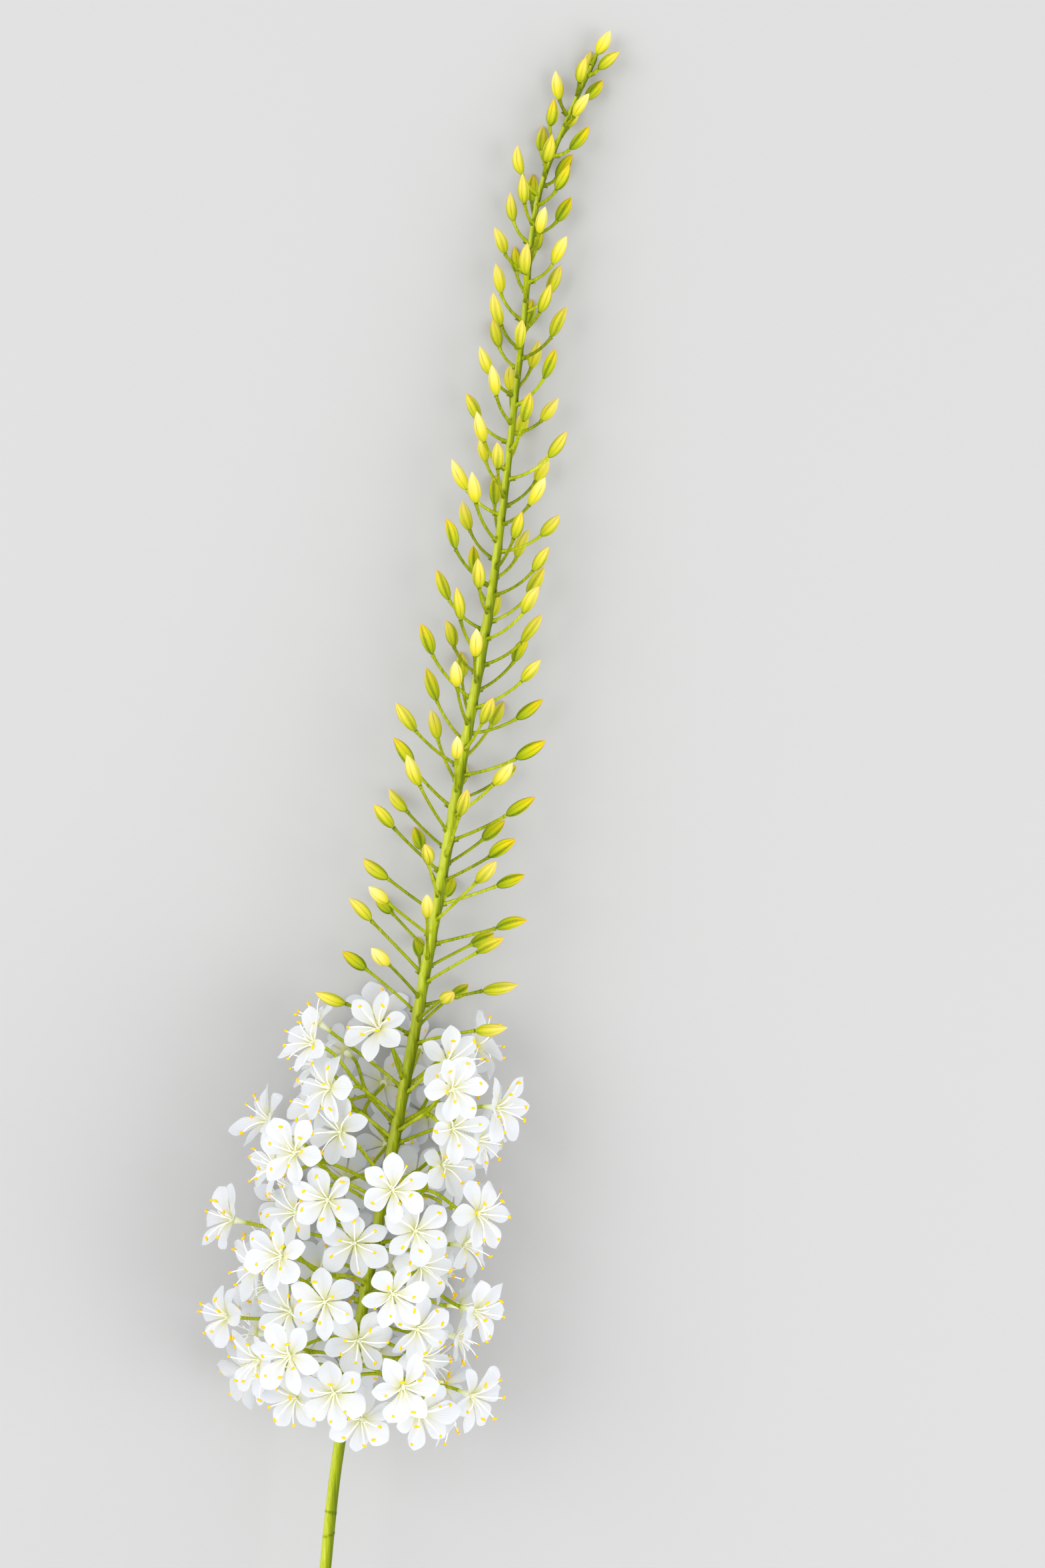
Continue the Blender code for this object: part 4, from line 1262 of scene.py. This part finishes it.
tube_pale = tube_finish()
filament_white = filament_finish()
anther_orange = anther_finish()
print("made", tube_pale.name, filament_white.name, anther_orange.name)

# %% [markdown]
# ## Petals
# A petal is narrow at the throat, widest at three fifths and ends in a blunt point. It turns out
# of the tube, rises towards its end and is folded a little along its middle, and its edges wave.
# The outer three are narrower and lie behind the inner three. One petal could be modelled and
# copied, but no two are alike on a real spike. So all of them are worked out in one block, in
# millimetres about their flower's throat, with seeded draws for their size, curl, sway and twist.
# Petals pressed against the surface lose most of these.

# %% Sizes of a petal and how they vary
MILLIMETRE = 0.001
PETAL_ROWS = 18
PETAL_ACROSS = 9
ROWS_GATHER = 0.12
PETAL_LENGTH_MM = 15.7
PETAL_LENGTHS = (0.93, 1.03)
PETAL_FOOT_MM = 1.0
PETAL_FOOT_HALF_WIDTH_MM = 0.95
PETAL_HALF_WIDTH_MM = 4.95
PETAL_WIDEST_AT = 0.64
PETAL_WIDTHS = (0.90, 1.07)
LEAST_HALF_WIDTH_MM = 0.03
PETAL_BLUNTNESS = (1.5, 2.4)
OUTER_PETAL_WIDTH = 0.82
INNER_WIDER_BY = 0.20
INNER_LIES_ABOVE_MM = 0.34
PETAL_SKIN_MM = 0.32
FOOT_THICKER = 0.8
END_THINNER = 0.7
PETAL_RISES = (0.12, 0.40)
PETAL_RISE_VARIES = 0.09
PRESSED_RISE = 0.185
THROAT_DEPTH_MM = 0.9
THROAT_LENGTH_MM = 0.9
FOLD_MM = 0.35
FOLD_WIDTH = 0.2
CURL_MM = (0.5, 1.4)
CURL_LIMITS_MM = (-1.8, 3.2)
CUP_MM = (0.5, 2.7)
ROLL_MM = 0.8
ROLLS_FROM = 0.72
SWAY_MM = 1.0
TWIST = 0.30
TWIST_LIMIT = 0.6
RUFFLE_MM = (0.15, 0.5)
RUFFLE_WAVES = 1.4
RUFFLE_SLANT = 1.5
PETAL_TURN_VARIES = 0.07
INNER_WARMER = 0.3

flower_draw = np.random.default_rng(63)
each_petal = (FLOWER_COUNT, PETALS, 1, 1)
pressed = np.array([place[4] for place in places]).reshape(FLOWER_COUNT, 1, 1, 1)
print("flowers that are pressed:", int((pressed > 0).sum()))

# %% Petals


def even(low, high):
    """A draw for each petal, as likely anywhere between two values."""
    return flower_draw.uniform(low, high, each_petal)


def about(middle, spread):
    """A draw for each petal, mostly within a spread of a middle value."""
    return flower_draw.normal(middle, spread, each_petal)


def petal_half_width(u, blunt):
    """f + (w - f) sin(90 u / m)^1.6 up to the widest place m, then w (1 - x^b)^0.8 to the tip."""
    foot, wide = PETAL_FOOT_HALF_WIDTH_MM, PETAL_HALF_WIDTH_MM
    low = foot + (wide - foot) * np.sin(np.pi / 2 * np.clip(u / PETAL_WIDEST_AT, 0, 1)) ** 1.6
    x = np.clip((u - PETAL_WIDEST_AT) / (1 - PETAL_WIDEST_AT), 0, 1)
    return np.maximum(low * (1 - x ** blunt) ** 0.8, LEAST_HALF_WIDTH_MM)


def petal_block():
    """Points (flower, petal, row, round) and the marks u along, v across and tone.

    A point is out by r(u) and across by w(u) v + sway u^2. Its height is the rise times r, less the
    throat's dip d e^(-r / l), less a fold f e^(-(v / 0.2)^2) sin(pi u^0.8) along the middle, less the
    curl c u^2.5, plus a cup |v|^1.8 sin(pi u^0.9) that lifts the edges, a ruffle v^2 u sin(waves),
    the twist, the roll of the end, the inner petals' lift, and half the skin's thickness.
    """
    step = np.linspace(0, 1, PETAL_ROWS)
    u = (step - ROWS_GATHER * np.sin(2 * np.pi * step))[:, None]
    v, side = flat_ring(PETAL_ACROSS)
    free = 1 - pressed
    inner = (np.arange(PETALS) % 2).reshape(1, PETALS, 1, 1)
    length = PETAL_LENGTH_MM * even(*PETAL_LENGTHS)
    width = (OUTER_PETAL_WIDTH + INNER_WIDER_BY * inner) * even(*PETAL_WIDTHS)
    curl = np.clip(about(*CURL_MM), *CURL_LIMITS_MM)
    curl = curl * free + np.abs(curl) * pressed
    cup = even(*CUP_MM) * free + PETAL_FOLD / MILLIMETRE * pressed
    roll = about(0, ROLL_MM) * free
    sway = about(0, SWAY_MM)
    twist = np.clip(about(0, TWIST), -TWIST_LIMIT, TWIST_LIMIT) * free
    phase = even(0, 2 * np.pi)
    ruffle = even(*RUFFLE_MM)
    out = PETAL_FOOT_MM + (length - PETAL_FOOT_MM) * u
    half = petal_half_width(u, even(*PETAL_BLUNTNESS)) * width
    across = half * v + sway * u ** 2
    rises = flower_draw.uniform(*PETAL_RISES, (FLOWER_COUNT, 1, 1, 1))
    rises = (rises + about(0, PETAL_RISE_VARIES)) * free + PRESSED_RISE * pressed
    height = rises * (out - PETAL_FOOT_MM)
    height = height - THROAT_DEPTH_MM * np.exp(-(out - PETAL_FOOT_MM) / THROAT_LENGTH_MM)
    height = height - FOLD_MM * bell(v, FOLD_WIDTH) * np.sin(np.pi * u ** 0.8) * free
    height = height - curl * u ** 2.5 + cup * np.abs(v) ** 1.8 * np.sin(np.pi * u ** 0.9)
    waves = np.sin(2 * np.pi * RUFFLE_WAVES * u + phase + RUFFLE_SLANT * v) - pressed
    height = height + ruffle * v ** 2 * u * waves + np.tan(twist) * u * half * v
    height = height + roll * smooth(ROLLS_FROM, 1.0, u) + INNER_LIES_ABOVE_MM * (inner - 0.5) * (1 - u ** 4)
    skin = PETAL_SKIN_MM / 2 * (1 + FOOT_THICKER * (1 - u) ** 3) * (1 - END_THINNER * u ** 6)
    height = height + side * skin
    turn = round_angles(PETALS).reshape(1, PETALS, 1, 1) + about(0, PETAL_TURN_VARIES)
    x = out * np.cos(turn) - across * np.sin(turn)
    y = out * np.sin(turn) + across * np.cos(turn)
    tone = np.clip(even(0, 1) * (1 - INNER_WARMER * inner), 0, 1)
    return np.stack(np.broadcast_arrays(x, y, height), axis=-1) * MILLIMETRE, u, v, tone


petal_shape, petal_along, petal_across, petal_tone = petal_block()
print("petals:", petal_shape.shape[0] * petal_shape.shape[1], "of", petal_shape.shape[2], "rows")

# %% [markdown]
# ## Tube and pistil
# Behind its petals the flower narrows into a tube that joins the stalk, and in its throat stands the
# pistil: a pale ovary with a thin style. A lathe, the Screw modifier, could turn them, but rings of
# a profile's radii do the same for all the flowers at once. Where a flower is pressed against the
# surface its style leans down, so that it doesn't go into the surface.

# %% Tube and pistil
TUBE_ROWS = 12
TUBE_SIDES = 18
TUBE_LOBES = 0.06
TUBE_PROFILE_MM = (
    (-7.6, 0.72), (-7.0, 0.86), (-5.4, 0.92), (-3.6, 1.12), (-2.2, 1.42), (-1.1, 1.66), (-0.7, 1.25))
OVARY_ROWS = 8
OVARY_SIDES = 10
OVARY_MM = 0.95
OVARY_FOOT_MM = -1.4
OVARY_HEIGHT_MM = 2.6
THREAD_ROWS = 9
THREAD_SIDES = 5
STYLE_FOOT_MM = 0.8
STYLE_BOW_MM = 4.0
STYLE_HEIGHT_MM = 7.0
STYLE_REACH_MM = 2.4
STYLE_RADIUS_MM = 0.2
FOLDED_DOWN = 0.20

lean = 1 - (1 - FOLDED_DOWN) * pressed[:, :, 0, 0]


def upright_paths(heights):
    """A straight path up the flower's own Z for each flower."""
    path = np.zeros((FLOWER_COUNT, len(heights), 3))
    path[:, :, 2] = heights
    return path * MILLIMETRE


def by_flower(block):
    """All flowers' copies of a part, with an axis for the flower before the copies' own."""
    return block.reshape(FLOWER_COUNT, -1, *block.shape[1:])


def tube_block():
    """The tube: the profile's radii up the flower's axis, x (1 + lobes s cos 6a) at share s up it."""
    heights, radii = np.array(TUBE_PROFILE_MM).T
    rows = np.linspace(heights[0], heights[-1], TUBE_ROWS)
    wide = np.interp(rows, heights, radii)[:, None] * MILLIMETRE
    share = ((rows - rows[0]) / (rows[-1] - rows[0]))[:, None]
    lobes = 1 + TUBE_LOBES * share * np.cos(PETALS * round_angles(TUBE_SIDES))
    return rings_along(upright_paths(rows), wide * lobes, TUBE_SIDES), share


def ovary_block():
    """An egg on the flower's axis: radius r sin(pi s)^0.6, for s from 0.02 to 0.98."""
    share = np.linspace(0.02, 0.98, OVARY_ROWS)
    wide = OVARY_MM * np.sin(np.pi * share) ** 0.6 * MILLIMETRE
    return rings_along(upright_paths(OVARY_FOOT_MM + OVARY_HEIGHT_MM * share), wide[:, None], OVARY_SIDES)


def style_block():
    """The style: a thin thread from the ovary's top that bows a little to one side."""
    angle = np.random.default_rng(65).uniform(0, 2 * np.pi, FLOWER_COUNT)
    up = np.array([0.0, 0.0, 1.0])
    foot = np.broadcast_to(STYLE_FOOT_MM * up, (FLOWER_COUNT, 3))
    tip = np.stack([np.cos(angle), np.sin(angle), lean[:, 0]], axis=-1)
    tip = tip * (STYLE_REACH_MM, STYLE_REACH_MM, STYLE_HEIGHT_MM)
    paths = parabolas(foot, STYLE_BOW_MM * up * lean, tip, THREAD_ROWS)
    return rings_along(paths * MILLIMETRE, STYLE_RADIUS_MM * MILLIMETRE, THREAD_SIDES)


tube_shape, tube_share = tube_block()
ovary_shape = ovary_block()
style_shape = style_block()
print("tubes:", len(tube_shape), "ovaries:", len(ovary_shape), "styles:", len(style_shape))

# %% [markdown]
# ## Stamens
# Six stamens stand in each throat: white threads that bow outwards, each with an orange anther
# across its end. Hair curves could be the threads, but the export drops them, so they are thin
# tubes too, along parabolas. Where a flower is pressed against the surface its stamens fold down
# over the petals.

# %% Stamens
FILAMENT_RADII_MM = (0.34, 0.23)
FILAMENT_FOOT_MM = (0.95, -0.5)
FILAMENT_REACH_MM = (6.2, 12.6)
FILAMENT_LENGTH_MM = 15.0
FILAMENT_STRAIGHTNESS = 0.85
FILAMENT_RISES = (0.8, 1.0)
FILAMENT_ASIDE_MM = 1.2
FILAMENT_TURN_VARIES = 0.09
BOW_OUT = 0.28
BOW_ASIDE = 0.3
BOW_HEIGHT_MM = 5.4
FOLDED_BOW_MM = (1.6, 0.6)
ANTHER_ROWS = 7
ANTHER_SIDES = 8
ANTHER_LENGTH_MM = (1.5, 2.7)
ANTHER_RADIUS_MM = 0.62
ANTHER_ALONG_THREAD = 0.5
ANTHER_FLATTENED = 0.8


def stamen_blocks():
    """Filaments and anthers in the flowers' own frames, leaning down where a flower is pressed.

    A filament of length l that reaches out by r is a parabola that rises to s sqrt(l^2 - r^2), for
    a straightness s. An anther lies across its end, with radius r sin(pi t)^0.5 for t from 0.04 to
    0.96 along it, so its ends are blunt.
    """
    draw = np.random.default_rng(64)
    shape = (FLOWER_COUNT, PETALS)
    angle = round_angles(PETALS) + draw.normal(0, FILAMENT_TURN_VARIES, shape)
    out = draw.uniform(*FILAMENT_REACH_MM, shape)
    high = FILAMENT_STRAIGHTNESS * np.sqrt(FILAMENT_LENGTH_MM ** 2 - out ** 2)
    high = high * draw.uniform(*FILAMENT_RISES, shape) * lean
    aside = draw.normal(0, FILAMENT_ASIDE_MM, shape)

    def spot(radial, sideways, height):
        """The points of all stamens at a distance out, sideways and up from their flower's throat."""
        x = radial * np.cos(angle) - sideways * np.sin(angle)
        y = radial * np.sin(angle) + sideways * np.cos(angle)
        return np.stack(np.broadcast_arrays(x, y, height), axis=-1) * MILLIMETRE

    folded_out, folded_up = FOLDED_BOW_MM
    foot = spot(FILAMENT_FOOT_MM[0], 0.0, FILAMENT_FOOT_MM[1])
    bow_out = BOW_OUT * out + folded_out * (1 - lean)
    bow = spot(bow_out, BOW_ASIDE * aside, BOW_HEIGHT_MM * lean + folded_up * (1 - lean))
    paths = parabolas(foot, bow, spot(out, aside, high), THREAD_ROWS).reshape(-1, THREAD_ROWS, 3)
    radii = np.linspace(*FILAMENT_RADII_MM, THREAD_ROWS) * MILLIMETRE
    filaments = rings_along(paths, radii[:, None], THREAD_SIDES)
    ways = unit(paths[:, -1] - paths[:, -2])
    cross = unit(np.cross(ways, draw.normal(0, 1, ways.shape))) + ANTHER_ALONG_THREAD * ways
    cross[:, 2] *= 1 - ANTHER_FLATTENED * (1 - lean.repeat(PETALS))
    lengths = draw.uniform(*ANTHER_LENGTH_MM, len(paths))[:, None, None] * MILLIMETRE
    share = np.linspace(0, 1, ANTHER_ROWS)
    along = (share - 0.5)[None, :, None] * lengths * unit(cross)[:, None]
    wide = ANTHER_RADIUS_MM * MILLIMETRE * np.sin(np.pi * (0.04 + 0.92 * share)) ** 0.5
    return filaments, rings_along(paths[:, -1:] + along, wide[:, None], ANTHER_SIDES)


filament_shape, anther_shape = stamen_blocks()
print("stamens:", len(filament_shape))

# %% [markdown]
# ## Blooms
# Each bloom is one piece that stands for its CAD node: petals, tube, pistil and stamens, and for
# a pair the fork's two arms as well. Instances of one flower would be lighter, but the export drops
# them and all flowers would be alike. So the shapes worked out above are turned and moved to their
# flower's place here.

# %% Blooms
ANTHER_TONE = 0.15
OVARY_COLOUR_AT = 0.50
STYLE_COLOUR_AT = 0.8

flower_frames = [np.array(flower_matrix(place)) for place in places]
thread = np.linspace(0, 1, THREAD_ROWS)[:, None]
flower_parts = [
    marked(petal_shape, petal_white, along=petal_along, across=petal_across, tone=petal_tone),
    marked(by_flower(tube_shape), tube_pale, along=tube_share),
    marked(by_flower(ovary_shape), tube_pale, along=OVARY_COLOUR_AT),
    marked(by_flower(style_shape), filament_white, along=thread * STYLE_COLOUR_AT),
    marked(by_flower(filament_shape), filament_white, along=thread),
    marked(by_flower(anther_shape), anther_orange, tone=ANTHER_TONE),
]


def bloom_blocks(index):
    """The marked blocks of one flower, carried from its own frame to its place on the spike."""
    frame_of_it = flower_frames[index]
    return [
        (points[index] @ frame_of_it[:3, :3].T + frame_of_it[:3, 3], finish,
         {name: values[index] for name, values in marks.items()})
        for points, finish, marks in flower_parts]


def fork_arms(index):
    """The two arms of a fork, from the shared stalk to the flowers' tubes."""
    _, _, _, _, shared, into = forks[index]
    lines = [
        stalk_curve(shared[-1], into, tube_end(place, -SUNK_IN_TUBE), place[1], STALK_ROWS)
        for place in (places[index], places[index + FORK_STEP])]
    return stalk_block(np.array(lines), FLOWER_STALK_SKIN, KNEE_SWELLING, FLOWER_FLARE, np.zeros(2))


blooms = []
for index in range(FLOWER_COUNT):
    if index - FORK_STEP in forked:
        continue
    name, parts = f"{index + 1:02d}", bloom_blocks(index)
    if index in forked:
        name = f"pair_{name}"
        parts += bloom_blocks(index + FORK_STEP) + [fork_arms(index)]
    blooms.append(make_piece(f"bloom_{name}", parts, "petal_white", f"flower_{name}"))
print("blooms:", len(blooms), "pieces,", sum(triangles(bloom) for bloom in blooms), "triangles")

# %% [markdown]
# ## Floor
# The spike lies on a plain pale surface, matt and even, so that its own shapes and colours show. A
# curved studio backdrop would do as well, but from above a wide flat sheet looks the same.

# %% Floor
FLOOR_SIDE = 40.0
FLOOR_COLOUR = "#adadad"
FIBRES_PER_MM = 0.6
PAPER_RELIEF = (0.05, 0.0002)


def floor_finish():
    """Pale matt paper: an even grey without a highlight. Its relief is coarser than fibres, to show."""
    finish, tree = new_finish("pale_matt_paper")
    fibres = add_node(tree, "ShaderNodeTexNoise", {
        "Vector": in_millimetres(tree), "Scale": FIBRES_PER_MM, "Detail": 3.0})
    shader = tissue(tree, fibres, PAPER_RELIEF, {
        "Base Color": linear(FLOOR_COLOUR), "Roughness": 0.9, "Specular IOR Level": 0.2})
    return surfaced(finish, tree, shader)


half_side = FLOOR_SIDE / 2
corners = [(x * half_side, y * half_side, 0) for x, y in ((-1, -1), (1, -1), (1, 1), (-1, 1))]
floor_mesh = bpy.data.meshes.new("floor")
floor_mesh.from_pydata(corners, [], [(0, 1, 2, 3)])
floor_mesh.materials.append(floor_finish())
floor = bpy.data.objects.new("floor", floor_mesh)
bpy.context.scene.collection.objects.link(floor)
print("floor:", FLOOR_SIDE, "m square")

# %% [markdown]
# ## Light and camera
# A bright, almost shadowless studio. One small lamp would draw hard shadows, so a white surround
# gives most of the light, and two large soft lights, from the left and from the right, shape the
# petals and the stem. The camera looks down on the spike square to the plan, from where the
# photograph was taken, with an 85 mm lens.

# %% Light and camera
PHOTO_HEIGHT_PX = 2352
PHOTO_METRES_PER_PX = 0.287 * MILLIMETRE
PHOTO_CENTRE = (0.0849, 0.3376)
LENS_MM = 85.0
SENSOR_MM = 36.0
VIEW_HEIGHT = PHOTO_HEIGHT_PX * PHOTO_METRES_PER_PX
DISTANCE = VIEW_HEIGHT / 2 / (SENSOR_MM / 2 / LENS_MM)
SURROUND_STRENGTH = 1.16
SOFTBOX_SIDE = 1.8

scene = bpy.context.scene
world = bpy.data.worlds.new("white_surround")
world.use_nodes = True
surround = world.node_tree.nodes["Background"]
surround.inputs["Color"].default_value = linear("#ffffff")
surround.inputs["Strength"].default_value = SURROUND_STRENGTH
scene.world = world
scene.view_settings.view_transform = "Standard"


def soft_light(name, place, aim, watts):
    """A square area light at a place, turned to shine at another."""
    data = bpy.data.lights.new(name, "AREA")
    data.shape = "SQUARE"
    data.size = SOFTBOX_SIDE
    data.energy = watts
    lamp = bpy.data.objects.new(name, data)
    lamp.location = place
    lamp.rotation_euler = (Vector(aim) - Vector(place)).to_track_quat("-Z", "Y").to_euler()
    scene.collection.objects.link(lamp)


soft_light("left_softbox", (-1.6, 0.5, 2.0), (0.0, -0.05, 0.0), 35.0)
soft_light("right_softbox", (1.8, -0.6, 1.8), (0.0, -0.15, 0.0), 34.0)

camera_data = bpy.data.cameras.new("camera")
camera_data.lens = LENS_MM
camera_data.sensor_width = SENSOR_MM
camera = bpy.data.objects.new("camera", camera_data)
camera.matrix_world = laid_down() @ Matrix.Translation((*PHOTO_CENTRE, DISTANCE))
scene.collection.objects.link(camera)
scene.camera = camera
print("camera distance:", round(DISTANCE, 3), "m")
